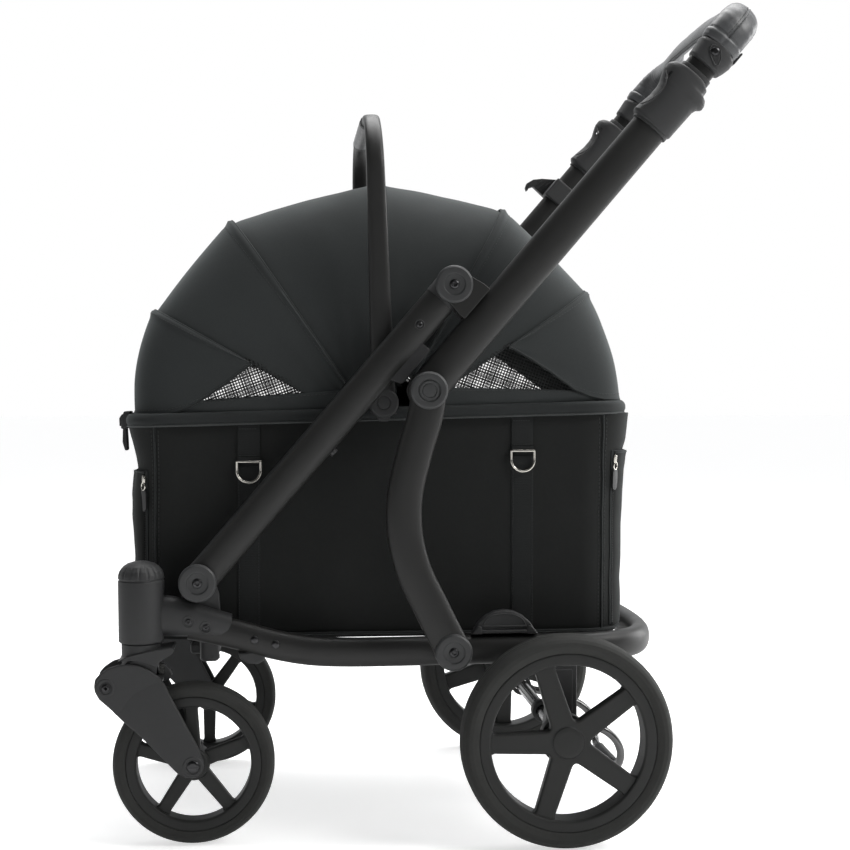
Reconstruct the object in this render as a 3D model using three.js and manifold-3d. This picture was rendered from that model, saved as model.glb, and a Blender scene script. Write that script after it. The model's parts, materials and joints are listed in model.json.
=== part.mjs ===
// Folding pet stroller with a lift-off carrier. Millimetres, +Z up.
// Front of the stroller is -X, its left side is -Y, the wheels stand on z = 0.
// Every number below is first given in the axle frame, whose x = 0 is the rear axle;
// AXLE_X moves the whole object so that the origin is the middle of its bounding box, on the floor.
import * as THREE from "three";
import { mergeVertices } from "three/addons/utils/BufferGeometryUtils.js";
import Module from "manifold-3d";

const wasm = await Module();
wasm.setup();

// ---------- driving dimensions ----------
const AXLE_X = 149.1;
const REAR_R = 125, REAR_Y = 270, REAR_TYRE_W = 44, REAR_RIM_R = 103.5, REAR_OPEN_R = 87, REAR_AXLE_Z = 125;
const FRONT_R = 95, FRONT_Y = 210, FRONT_TYRE_W = 35, FRONT_RIM_R = 76, FRONT_OPEN_R = 64, FRONT_AXLE = [-435.4, 95];
const SWIVEL_X = -497;
const ARM_PIVOT = [-535.6, 187.4];
const A = [-430.4, 308.7], B = [-127.7, 660.2], C = [-159.9, 534.7], D = [-130.8, 227.3]; // fold pivots, x and z
const TUBE_Y = 213, TUBE_T = 26, FRONT_TUBE_W = 40, HANDLE_TUBE_W = 45;
const LEG_Y = 244.5, LEG_T = 22, LEG_W = 42;
const LOOP_Y = 205, LOOP_T = 26, LOOP_H = 35;
const HANDLE_DEG = 49.5;
const BAIL_PIVOT = [-208.8, 519.7], BAIL_Y = 184.5, BAIL_T = 14, BAIL_W = 29, BAIL_TOP = 873, BAIL_LEAN = -1.45;
const GAP = 0.3;

// ---------- materials ----------
const mat = (color, roughness, metalness = 0) => new THREE.MeshStandardMaterial({ color, roughness, metalness });
const powder = () => mat(0x3a3b3a, 0.45, 0.25);
const plastic = () => mat(0x37393b, 0.55);
const rubber = () => mat(0x303131, 0.8);
const steel = () => mat(0x8d8d8a, 0.28, 1);
const fabric = () => mat(0x2a2d2c, 0.9);
const leather = () => mat(0x4c4f50, 0.42);

// ---------- solids ----------
const rad = THREE.MathUtils.degToRad;
const V = (x, y, z) => new THREE.Vector3(x, y, z);

function solid(geometry) {
  const g = geometry.index ? geometry.toNonIndexed() : geometry.clone();
  for (const k of Object.keys(g.attributes)) if (k !== "position") g.deleteAttribute(k);
  const m = mergeVertices(g, 1e-3);
  let tri = Array.from(m.index.array);
  const keep = [];
  for (let i = 0; i < tri.length; i += 3)
    if (tri[i] !== tri[i + 1] && tri[i + 1] !== tri[i + 2] && tri[i] !== tri[i + 2]) keep.push(tri[i], tri[i + 1], tri[i + 2]);
  tri = keep;
  const make = () => new wasm.Manifold(new wasm.Mesh({ numProp: 3, vertProperties: m.attributes.position.array, triVerts: new Uint32Array(tri) }));
  let s = make();
  if (s.volume() < 0) {
    for (let i = 0; i < tri.length; i += 3) [tri[i + 1], tri[i + 2]] = [tri[i + 2], tri[i + 1]];
    s = make();
  }
  return s;
}
const join = (...s) => s.reduce((a, b) => a.add(b));
const cut = (s, ...more) => more.reduce((a, b) => a.subtract(b), s);

const span = (s, a, b) => (s < 0 ? [-b, -a] : [a, b]); // |y| from a to b on side s

// an outline of [x, z] points, extruded across from y0 to y1
function plate(pts, [y0, y1], holes = []) {
  const shape = new THREE.Shape(pts.map(([x, z]) => new THREE.Vector2(x, z)));
  for (const h of holes) shape.holes.push(new THREE.Path(h.map(([x, z]) => new THREE.Vector2(x, z))));
  const g = new THREE.ExtrudeGeometry(shape, { depth: y1 - y0, bevelEnabled: false, steps: 1 });
  return solid(g.rotateX(Math.PI / 2).translate(0, y1, 0));
}
// an outline of [x, y] points, extruded up from z0 to z1
const slab = (pts, z0, z1) =>
  solid(new THREE.ExtrudeGeometry(new THREE.Shape(pts.map(([x, y]) => new THREE.Vector2(x, y))), { depth: z1 - z0, bevelEnabled: false, steps: 1 }).translate(0, 0, z0));
const box = (x0, x1, y0, y1, z0, z1) => solid(new THREE.BoxGeometry(x1 - x0, y1 - y0, z1 - z0).translate((x0 + x1) / 2, (y0 + y1) / 2, (z0 + z1) / 2));
const rodY = ([x, z], r, [y0, y1], n = 24) => solid(new THREE.CylinderGeometry(r, r, y1 - y0, n).translate(x, (y0 + y1) / 2, z));
const rodZ = (x, y, r, z0, z1, n = 24) => solid(new THREE.CylinderGeometry(r, r, z1 - z0, n).rotateX(Math.PI / 2).translate(x, y, (z0 + z1) / 2));
function rod(p, q, r, n = 12) {
  const d = q.clone().sub(p);
  const g = new THREE.CylinderGeometry(r, r, d.length(), n);
  g.applyQuaternion(new THREE.Quaternion().setFromUnitVectors(V(0, 1, 0), d.clone().normalize()));
  const m = p.clone().add(q).multiplyScalar(0.5);
  return solid(g.translate(m.x, m.y, m.z));
}
// a closed profile of [radius, y] points turned about a Y axle at [x, z]; offset y
function turned(profile, [x, z], y, n) {
  const pts = profile.map(([r, h]) => new THREE.Vector2(r, h));
  if (profile[0][0] > 0) pts.push(pts[0].clone());
  return solid(new THREE.LatheGeometry(pts, n).translate(x, y, z));
}
// the same about a vertical axis at x, y: profile of [radius, z]
function turnedZ(profile, x, y, n) {
  const pts = profile.map(([r, h]) => new THREE.Vector2(r, h));
  if (profile[0][0] > 0) pts.push(pts[0].clone());
  return solid(new THREE.LatheGeometry(pts, n).rotateX(Math.PI / 2).translate(x, y, 0));
}
// a rounded-oval section swept along points: `a` is its size along `ref`, `b` its size across
function sweep(path, ref, a, b, { n = 14, e = 2.6, closed = false, size = () => 1 } = {}) {
  const P = path, m = P.length, ring = [];
  for (let i = 0; i < m; i++) {
    const p0 = P[closed ? (i + m - 1) % m : Math.max(i - 1, 0)], p1 = P[closed ? (i + 1) % m : Math.min(i + 1, m - 1)];
    const T = p1.clone().sub(p0).normalize();
    const N = ref.clone().addScaledVector(T, -ref.dot(T)).normalize();
    const L = T.clone().cross(N).normalize();
    const row = [];
    for (let k = 0; k < n; k++) {
      const t = (2 * Math.PI * (k + 0.5)) / n, c = Math.cos(t), s = Math.sin(t);
      row.push(
        P[i].clone()
          .addScaledVector(N, (a / 2) * size(i / (m - 1)) * Math.sign(c) * Math.abs(c) ** (2 / e))
          .addScaledVector(L, (b / 2) * Math.sign(s) * Math.abs(s) ** (2 / e)),
      );
    }
    ring.push(row);
  }
  const pos = [], tri = (p, q, r) => pos.push(p.x, p.y, p.z, q.x, q.y, q.z, r.x, r.y, r.z);
  const rows = closed ? m : m - 1;
  for (let i = 0; i < rows; i++)
    for (let k = 0; k < n; k++) {
      const u = ring[i], v = ring[(i + 1) % m], j = (k + 1) % n;
      tri(u[k], u[j], v[k]);
      tri(u[j], v[j], v[k]);
    }
  if (!closed)
    for (let k = 0; k < n; k++) {
      const j = (k + 1) % n;
      tri(P[0], ring[0][j], ring[0][k]);
      tri(P[m - 1], ring[m - 1][k], ring[m - 1][j]);
    }
  return solid(new THREE.BufferGeometry().setAttribute("position", new THREE.BufferAttribute(new Float32Array(pos), 3)));
}
const smooth = (pts, n, closed = false) => {
  const c = new THREE.CatmullRomCurve3(pts, closed, "centripetal");
  return closed ? c.getPoints(n).slice(0, n) : c.getPoints(n);
};
const arc = ([x, z], r, a0, a1, n) => Array.from({ length: n + 1 }, (_, i) => [x + r * Math.cos(rad(a0 + ((a1 - a0) * i) / n)), z + r * Math.sin(rad(a0 + ((a1 - a0) * i) / n))]);

const root = new THREE.Group();
const stroller = new THREE.Group();
stroller.position.x = AXLE_X;
root.add(stroller);
function piece(name, s, material) {
  const m = s.getMesh(), v = new Float32Array(m.numVert * 3);
  for (let i = 0; i < m.numVert; i++) v.set(m.vertProperties.subarray(i * m.numProp, i * m.numProp + 3), i * 3);
  const g = new THREE.BufferGeometry().setAttribute("position", new THREE.BufferAttribute(v, 3)).setIndex(new THREE.BufferAttribute(new Uint32Array(m.triVerts), 1));
  g.computeVertexNormals();
  const mesh = new THREE.Mesh(g, material);
  mesh.name = name;
  stroller.add(mesh);
  return mesh;
}
const SIDES = [[-1, "left"], [1, "right"]];
const onY = (s, a) => s * a;
const XAX = V(1, 0, 0), YAX = V(0, 1, 0), ZAX = V(0, 0, 1);

// ---------- chassis: the oval loop that the carrier stands in ----------
const halfLoop = [
  [-440, 205, 257], [-412, 205, 251], [-381, 205, 243.5], [-338, 205, 231.5], [-300, 205, 224.5], [-262, 205, 222], [-190, 205, 221.8],
  [-112, 205, 222.8], [-40, 205, 223.2], [0, 204, 223.4], [42, 199.5, 223.6], [78, 187, 223.8], [106, 162, 224], [122.5, 126, 224], [129, 84, 224], [131.5, 42, 224],
];
const loopPath = () => {
  const left = halfLoop.map(([x, y, z]) => V(x, -y, z)), right = halfLoop.map(([x, y, z]) => V(x, y, z)).reverse();
  return smooth([...left, V(132, 0, 224), ...right], 40);
};
const LOOP = loopPath();
piece(
  "base_loop",
  join(
      sweep(LOOP, ZAX, LOOP_H, LOOP_T, { n: 10 }),
      rodY(D, 12, span(-1, 214, 232.8), 16),
      rodY(D, 12, span(1, 214, 232.8), 16),
  ),
  powder(),
);
const crossEnd = (s) => box(-442, -406, ...span(s, 170, 189.6), 215.5, 262);
piece("front_crossmember", join(box(-442, -406, -189.6, 189.6, 215.5, 230.5), crossEnd(-1), crossEnd(1), rodZ(-415, -180, 9, 212.5, 217, 16), rodZ(-415, 180, 9, 212.5, 217, 16)), powder());

const sleeveOutline = [[-482, 290], [-468, 292.4], [-450, 288.5], [-425, 279.5], [-392, 269.5], [-390.5, 261], [-394, 253], [-402, 246.5], [-414, 243], [-440, 244.4], [-462, 246.7], [-482, 246]];
const earOutline = [[-452, 262], ...arc(A, 19, 180, 0, 8), [-406, 292], [-404, 262]];
for (const [s, side] of SIDES) {
  // caster post with a blind bore for the fork stem, the sleeve that takes the loop's end, and the ear of the lower fold pivot
  const post = turnedZ([[0, 301], [10.5, 301], [10.5, 238], [26.5, 238], [27, 312], [25.6, 320], [21, 327.5], [13, 332.3], [0, 334]], SWIVEL_X, onY(s, FRONT_Y), 28);
  const socket = sweep([V(-442, onY(s, LOOP_Y), 257.4), ...LOOP.filter((p) => Math.sign(p.y) === s && p.x > -439 && p.x < -360)].sort((p, q) => p.x - q.x), ZAX, LOOP_H + 0.8, LOOP_T + 0.8, { n: 10 });
  const ear = cut(plate(earOutline, span(s, 192.2, 199.5)), rodY(A, 5.3, span(s, 190, 201), 16));
  const sleeve = plate(sleeveOutline, span(s, 190, 221.5));
  piece(`caster_housing_${side}`, cut(join(post, sleeve, ear), socket), plastic());
  piece(`lower_pivot_bolt_${side}`, join(rodY(A, 5, span(s, 193, 229), 16), rodY(A, 22.4, span(s, 226.7, 231.6), 32)), plastic());

  // rear: vertical strut between the loop and the axle, with a guide for the brake pin
  const strut = plate([[-14, 204.8], [21.7, 204.8], [21.7, 132], [16.5, 116], [7, 109], [-5, 109], [-14, 116], [-17, 127], [-15, 150]], span(s, 196.5, 221));
  piece(`rear_strut_${side}`, cut(strut, rodY([0, REAR_AXLE_Z], 8.4, span(s, 190, 230), 20), rodY([3, REAR_AXLE_Z + 19], 3.9, span(s, 206, 230), 14)), plastic());
  // carrier dock release button on the loop
  piece(
    `dock_button_${side}`,
    plate([[-102.5, 243.4], [-28.2, 243.4], [-29.5, 249], [-34, 256], [-43, 264], [-54, 269.2], [-65.5, 270.8], [-77, 269.2], [-88, 264], [-97, 256], [-101.2, 249]], span(s, 199, 216)),
    plastic(),
  );
}
piece(
  "rear_axle",
  join(rodY([0, REAR_AXLE_Z], 8, [-246, 246], 20), rodY([0, REAR_AXLE_Z], 6, [-285, 285], 16)),
  steel(),
);

// ---------- wheels ----------
function wheelSet(prefix, side, s, [cx, cz], cy, R, tw, rimR, openR, hubR, hubW, spokeW, spokeT, spokeOff, boreR, phase, nseg, closedCap) {
  const tyre = [
    [rimR + GAP, -tw * 0.44], [rimR + 0.32 * (R - rimR), -tw / 2], [R - 0.22 * (R - rimR), -tw * 0.41], [R, -tw * 0.2],
    [R, tw * 0.2], [R - 0.22 * (R - rimR), tw * 0.41], [rimR + 0.32 * (R - rimR), tw / 2], [rimR + GAP, tw * 0.44],
  ];
  piece(`${prefix}_tyre_${side}`, turned(tyre, [cx, cz], cy, nseg), rubber());
  let rim = turned([[openR, -tw * 0.36], [openR + 3, -tw * 0.42], [rimR, -tw * 0.42], [rimR, tw * 0.42], [openR + 3, tw * 0.42], [openR, tw * 0.36]], [cx, cz], cy, nseg);
  const out = s * spokeOff;
  for (let k = 0; k < 5; k++) {
    const a = rad(phase + 72 * k), c = Math.cos(a), n = Math.sin(a);
    const p = (r, w) => [cx + r * c - w * n, cz + r * n + w * c];
    rim = rim.add(plate([p(hubR * 0.5, -spokeW / 2), p(openR * 0.9, -spokeW / 2), p(openR + 5, -spokeW * 0.56), p(openR + 5, spokeW * 0.56), p(openR * 0.9, spokeW / 2), p(hubR * 0.5, spokeW / 2)], [cy + out - spokeT / 2, cy + out + spokeT / 2]));
  }
  rim = rim.add(rodY([cx, cz], hubR, [cy - hubW / 2, cy + hubW / 2], 28));
  return rim;
}
for (const [s, side] of SIDES) {
  const cy = s * REAR_Y;
  let rim = wheelSet("rear", side, s, [0, REAR_AXLE_Z], cy, REAR_R, REAR_TYRE_W, REAR_RIM_R, REAR_OPEN_R, 30, 39, 23, 18, 8, 6.4, s < 0 ? 36 : -18, 32);
  rim = rim.add(rodY([0, REAR_AXLE_Z], 19.2, span(s, 288, 291), 28));
  rim = cut(
    rim,
    rodY([0, REAR_AXLE_Z], 6.4, span(s, 240, 286), 16),
    turned([[12.5, -5], [25.5, -5], [25.5, 5], [12.5, 5]], [0, REAR_AXLE_Z], s * (REAR_Y - 19.5 + 3.5), 28),
  );
  piece(`rear_rim_${side}`, rim, plastic());
  piece(`brake_pin_${side}`, rodY([3, REAR_AXLE_Z + 19], 3.5, span(s, 211, 247.6), 12), steel());
}

// ---------- swivel casters with a sprung trailing arm ----------
const crownOutline = [
  [-523, 236], [-524, 217], [-538, 206.5], [-546.5, 198], [-550, 188], [-548.5, 180], [-542, 174], [-533.5, 172.9], [-526, 176.5], [-511, 191], [-494, 207], [-480, 213.6],
  [-467, 214], [-460, 222], [-457.5, 230.6], [-466, 231], [-474, 236],
];
const armOutline = [
  [-549.3, 186], [-547.2, 196], [-539, 205.5], [-528, 212], [-516.7, 214.9], [-500, 213.5], [-484, 207.5], [-470.8, 199.1], [-465.5, 190], [-455, 170], [-440, 141],
  [-427, 116], [-421.8, 101], [-422.5, 89], [-433, 81.3], [-445, 82], [-454, 87.6], [-480, 112.5], [-515.3, 148.5], [-540, 174], [-547, 179],
];
for (const [s, side] of SIDES) {
  const y = s * FRONT_Y;
  const crown = join(
    rodZ(SWIVEL_X, y, 22, 218.8, 237.6, 24),
    rodZ(SWIVEL_X, y, 10, 220, 299, 20),
    plate(crownOutline, [y - 18.6, y + 18.6]),
    rodY(ARM_PIVOT, 5, [y - 28.6, y + 28.6], 16),
  );
  piece(`caster_fork_${side}`, crown, plastic());
  const cheeks = [[y - 27, y - 20.4], [y + 20.4, y + 27]].map((r) =>
    cut(plate(armOutline, r), rodY(ARM_PIVOT, 5.4, [y - 40, y + 40], 16), rodY(FRONT_AXLE, 5.3, [y - 40, y + 40], 16)),
  );
  const web = plate([[-493, 196.5], [-480, 201], [-470.4, 197.6], [-471.5, 191], [-491, 187]], [y - 22, y + 22]);
  piece(`caster_arm_${side}`, join(cheeks[0], cheeks[1], web), plastic());
  piece(`caster_buffer_${side}`, rodZ(-476, y, 6.5, 201.4, 212, 12), rubber());
  piece(`front_axle_${side}`, join(rodY(FRONT_AXLE, 4.9, [y - 28, y + 28], 16), rodY(FRONT_AXLE, 9, [y - 30.5, y - 27.4], 20), rodY(FRONT_AXLE, 9, [y + 27.4, y + 30.5], 20)), steel());
  let rim = wheelSet("front", side, s, FRONT_AXLE, y, FRONT_R, FRONT_TYRE_W, FRONT_RIM_R, FRONT_OPEN_R, 19, 38, 15, 14, 3, 5.3, s < 0 ? 21 : 54, 28);
  piece(`front_rim_${side}`, cut(rim, rodY(FRONT_AXLE, 5.3, [y - 40, y + 40], 16)), plastic());
}

// ---------- parking brake: a bent foot bar that turns on the rear axle ----------
{
  const half = [[10, 92, 119], [38, 92, 113], [66, 91.5, 104], [84, 91, 96], [97, 90, 83.5], [103, 88, 69], [103, 83, 56], [102, 72, 47.5], [102, 56, 45]];
  const bar = smooth([...half.map(([x, y, z]) => V(x, -y, z)), V(102, 0, 44.5), ...half.map(([x, y, z]) => V(x, y, z)).reverse()], 36);
  const bore = rodY([0, REAR_AXLE_Z], 8.4, [-170, 170], 20);
  piece(
    "brake_bar",
    cut(join(sweep(bar, V(1, 0, 1).normalize(), 10.5, 10.5, { n: 8, e: 2 }), rodY([0, REAR_AXLE_Z], 13.5, span(-1, 84, 100), 20), rodY([0, REAR_AXLE_Z], 13.5, span(1, 84, 100), 20),
      plate([[6, 130], [20, 121], [22, 104], [4, 113]], span(-1, 85, 99)), plate([[6, 130], [20, 121], [22, 104], [4, 113]], span(1, 85, 99))), bore),
    steel(),
  );
}

// ---------- folding side frames ----------
const fr = Math.atan2(B[1] - A[1], B[0] - A[0]), FT = [Math.cos(fr), Math.sin(fr)], FN = [Math.sin(fr), -Math.cos(fr)];
const onFront = (al, ac) => [A[0] + al * FT[0] + ac * FN[0], A[1] + al * FT[1] + ac * FN[1]];
const hr = rad(HANDLE_DEG), HT = [Math.cos(hr), Math.sin(hr)], HN = [Math.sin(hr), -Math.cos(hr)];
const onHandle = (al, ac) => [C[0] + al * HT[0] + ac * HN[0], C[1] + al * HT[1] + ac * HN[1]];
const at = ([x, z], y) => V(x, y, z);
const acrossH = V(HN[0], 0, HN[1]), alongH = V(HT[0], 0, HT[1]);
const AB = Math.hypot(B[0] - A[0], B[1] - A[1]);
const legPath = [C, [-163, 508], [-175.5, 465], [-187.5, 412], [-188, 370], [-178, 325], [-156, 278], [-137, 240], D];

for (const [s, side] of SIDES) {
  const y = s * TUBE_Y, ys = span(s, TUBE_Y - TUBE_T / 2, TUBE_Y + TUBE_T / 2);
  // front tube, with its moulded top end, lock block and the bore of the lock plunger
  const tube = sweep([at(A, y), at(B, y)], YAX, TUBE_T, FRONT_TUBE_W, { n: 16, e: 2.8 });
  const block = plate([onFront(327, 14), onFront(387, 14), onFront(387.4, 30.4), onFront(335, 31)], span(s, 205, 221));
  const plungeBore = rod(at(onFront(343.5, 9), y), at(onFront(343.5, 34), y), 3.9, 12);
  piece(
    `front_tube_${side}`,
    cut(join(tube, rodY(A, 20, ys, 20), rodY(B, 20.6, ys, 20), block), rodY(A, 5.4, span(s, 190, 240), 16), rodY(B, 5.4, span(s, 190, 240), 16), plungeBore),
    powder(),
  );
  piece(`lock_plunger_${side}`, rod(at(onFront(343.5, 16), y), at(onFront(343.5, 34.6), y), 3.5, 12), steel());

  // curved rear leg, outboard of the tubes
  const leg = sweep(smooth(legPath.map((p) => at(p, s * LEG_Y)), 13), YAX, LEG_T, LEG_W, { n: 12, e: 2.8 });
  const lys = span(s, LEG_Y - LEG_T / 2, LEG_Y + LEG_T / 2);
  piece(`rear_leg_${side}`, join(leg, rodY(C, 22, lys, 24), rodY(D, 22, lys, 24), rodY(C, 22.3, span(s, 253, 258.3), 24), rodY(D, 21.8, span(s, 253, 258.3), 24)), powder());

  // handle tube: closed at the knee, hollow above for the telescoping tube
  const outer = sweep([at(onHandle(0, 0), y), at(onHandle(469.5, 0), y)], YAX, TUBE_T, HANDLE_TUBE_W, { n: 16, e: 2.8 });
  const hollow = sweep([at(onHandle(180, 0), y), at(onHandle(475, 0), y)], YAX, 20.8, 38.8, { n: 16, e: 2.8 });
  piece(`handle_tube_${side}`, join(cut(outer, hollow), rodY(C, 22.4, ys, 28), rodY(C, 12, span(s, 220, 233.1), 20)), powder());

  // bracket from the handle tube to the upper pivot: two cheeks and a web
  const cheek = [onHandle(93, -12), onHandle(140, -12), onHandle(140, -30), ...arc(B, 18.6, HANDLE_DEG + 5, HANDLE_DEG + 175, 8), onHandle(93, -30)];
  const bolt = rodY(B, 5.3, span(s, 180, 240), 16);
  const web = plate([onHandle(95, -34), onHandle(139, -34), onHandle(139, -23.2), onHandle(95, -23.2)], span(s, 196, 229.4));
  piece(`handle_bracket_${side}`, cut(join(plate(cheek, span(s, 195.8, 199.6)), plate(cheek, span(s, 226.4, 229.4)), web), bolt), plastic());
  piece(`upper_pivot_bolt_${side}`, join(rodY(B, 5, span(s, 194.5, 231), 16), rodY(B, 22.4, span(s, 229.7, 232.6), 32)), plastic());

  // release collar that slides on the handle tube
  const collar = [
    [416.4, -26], [419.6, -28.7], [434.6, -29.4], [446.8, -29.4], [460.9, -31], [478.9, -34.2], [486.4, -35.4], [493.6, -30.2], [495.6, -15.3], [497, 3], [497.5, 18.3],
    [493.5, 22.5], [486.3, 26], [479.3, 32.6], [473.4, 33.6], [468.8, 27.1], [443.5, 26], [420.4, 27.1], [416.2, 23.3],
  ].map(([a, b]) => onHandle(a, b));
  const low = sweep([at(onHandle(410, 0), y), at(onHandle(470.4, 0), y)], YAX, 26.9, 45.9, { n: 16, e: 2.8 });
  const high = sweep([at(onHandle(465, 0), y), at(onHandle(505, 0), y)], YAX, 21.2, 39.2, { n: 16, e: 2.8 });
  const slot = plate([onHandle(472, -26.8), onHandle(480.5, -27.8), onHandle(480.5, -24), onHandle(472, -23.4)], span(s, 190, 240));
  piece(`release_collar_${side}`, cut(plate(collar, span(s, 196, 230)), low, high, slot), plastic());

  // moulded end housing between the inner tube and the grip
  const housing = [[514.1, -18.9], [516.1, -21.5], [538.8, -24.3], [543.4, -14.2], [545.2, 1.7], [541, 26], [531.7, 27.6], [515.5, 23], [514.2, 17.8]].map(([a, b]) => onHandle(a, b));
  const socket = sweep([at(onHandle(505, 0), y), at(onHandle(550, 0), y)], YAX, 20.8, 38.8, { n: 16, e: 2.8 });
  piece(`grip_housing_${side}`, cut(plate(housing, span(s, 196, 230)), socket), plastic());
}

// telescoping handle: two inner tubes joined by the bar inside the grip
const barPts = [[213, 545.6], [213, 560], [211, 573], [204.5, 584.5], [193.5, 592.5], [179, 596.8], [160, 598]];
const barPath = () => {
  const half = barPts.map(([y, al]) => { const [x, z] = onHandle(al, 0); return [x, y, z]; });
  const mid = onHandle(598, 0);
  return smooth([...half.map(([x, y, z]) => V(x, -y, z)), V(mid[0], 0, mid[1]), ...half.map(([x, y, z]) => V(x, y, z)).reverse()], 26);
};
{
  const path = barPath();
  const [x0, z0] = onHandle(538, 0);
  const core = sweep([V(x0, -213, z0), ...path, V(x0, 213, z0)], acrossH, 20, 18, { n: 10, e: 2 });
  const tubes = [-1, 1].map((s) => sweep([at(onHandle(205, 0), s * TUBE_Y), at(onHandle(545, 0), s * TUBE_Y)], YAX, 20, 38, { n: 16, e: 2.8 }));
  piece("telescoping_handle", join(core, ...tubes), powder());
  const cover = cut(
    sweep(path, acrossH, 50, 36, { n: 14, e: 2.3 }),
    sweep([V(x0, -213, z0), ...path, V(x0, 213, z0)], acrossH, 20.8, 18.8, { n: 10, e: 2 }),
  );
  piece("leather_grip", cover, leather());
}
// cup-holder hook clamped on the right handle tube
{
  const y = TUBE_Y;
  const clamp = plate([[353, -25], [357, -25.6], [380, -25.6], [384, -25], [384, 25.6], [353, 25.6]].map(([a, b]) => onHandle(a, b)), [196.5, 229.5]);
  const hook = plate([[352, -12], [352.1, -41], [345, -43.5], [339.2, -42.5], [343, -48], [349.5, -51], [359, -47.8], [368, -39.2], [381.5, -22], [381.5, -12]].map(([a, b]) => onHandle(a, b)), [227, 239.5]);
  const bore = sweep([at(onHandle(345, 0), y), at(onHandle(392, 0), y)], YAX, 26.7, 45.7, { n: 16, e: 2.8 });
  piece("cup_holder_hook", cut(join(clamp, hook), bore), plastic());
}

// ---------- lift-off carrier ----------
const TILT = 0.0275; // the carrier's top edge rises towards the rear
const rimZ = (x) => 506.6 + (x + 208) * TILT;
const roundRect = (x0, x1, w, r, n = 5) => {
  const pts = [];
  for (const [cx, cy, a] of [[x1 - r, w - r, 0], [x0 + r, w - r, 90], [x0 + r, -w + r, 180], [x1 - r, -w + r, 270]])
    for (let i = 0; i <= n; i++) pts.push([cx + r * Math.cos(rad(a + (90 * i) / n)), cy + r * Math.sin(rad(a + (90 * i) / n))]);
  return pts;
};
{
  const top = plate([[-560, rimZ(-560) - 9], [160, rimZ(160) - 9], [160, 700], [-560, 700]], [-260, 260]);
  const outer = slab(roundRect(-513, 93, 165, 55), 233, 520);
  const inner = slab(roundRect(-508, 88, 160, 50), 239, 530);
  piece("carrier_tub", cut(outer, inner, top), fabric());
  const ringPts = roundRect(-514, 92, 164.5, 57, 6).map(([x, y]) => V(x, y, rimZ(x)));
  let rim = sweep(ringPts, ZAX, 15.5, 13, { n: 10, e: 2.2, closed: true });
  for (const s of [-1, 1])
    rim = join(rim, plate([[-226, rimZ(-226)], ...arc(BAIL_PIVOT, 15, 200, -20, 8), [-191, rimZ(-191)]], span(s, 166, 171)), rodY(BAIL_PIVOT, 9, span(s, 168, 177), 20));
  piece("carrier_rim_frame", rim, plastic());
  piece("mattress", join(slab(roundRect(-500, 80, 152, 44), 240, 268), slab(roundRect(-492, 72, 144, 40), 267, 276)), fabric());
}
// canopy: five fan sections about the bail pivot; radius by angle follows the hoops
const HOOPS = [[0, 306.5], [27.3, 308.5], [56.3, 300.5], [90, 283], [128.4, 299], [158, 309.5], [184, 306.5]];
function hoopR(deg) {
  for (let i = 0; i + 1 < HOOPS.length; i++) {
    const [a0, r0] = HOOPS[i], [a1, r1] = HOOPS[i + 1];
    if (deg <= a1 + 1e-6) {
      // straight cloth between two hoops, in polar form
      const p0 = [r0 * Math.cos(rad(a0)), r0 * Math.sin(rad(a0))], p1 = [r1 * Math.cos(rad(a1)), r1 * Math.sin(rad(a1))];
      const d = [Math.cos(rad(deg)), Math.sin(rad(deg))], e = [p1[0] - p0[0], p1[1] - p0[1]];
      const chord = (p0[0] * e[1] - p0[1] * e[0]) / (d[0] * e[1] - d[1] * e[0]);
      return chord * 0.75 + 0.25 * (r0 + ((r1 - r0) * (deg - a0)) / (a1 - a0));
    }
  }
  return HOOPS[HOOPS.length - 1][1];
}
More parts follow.
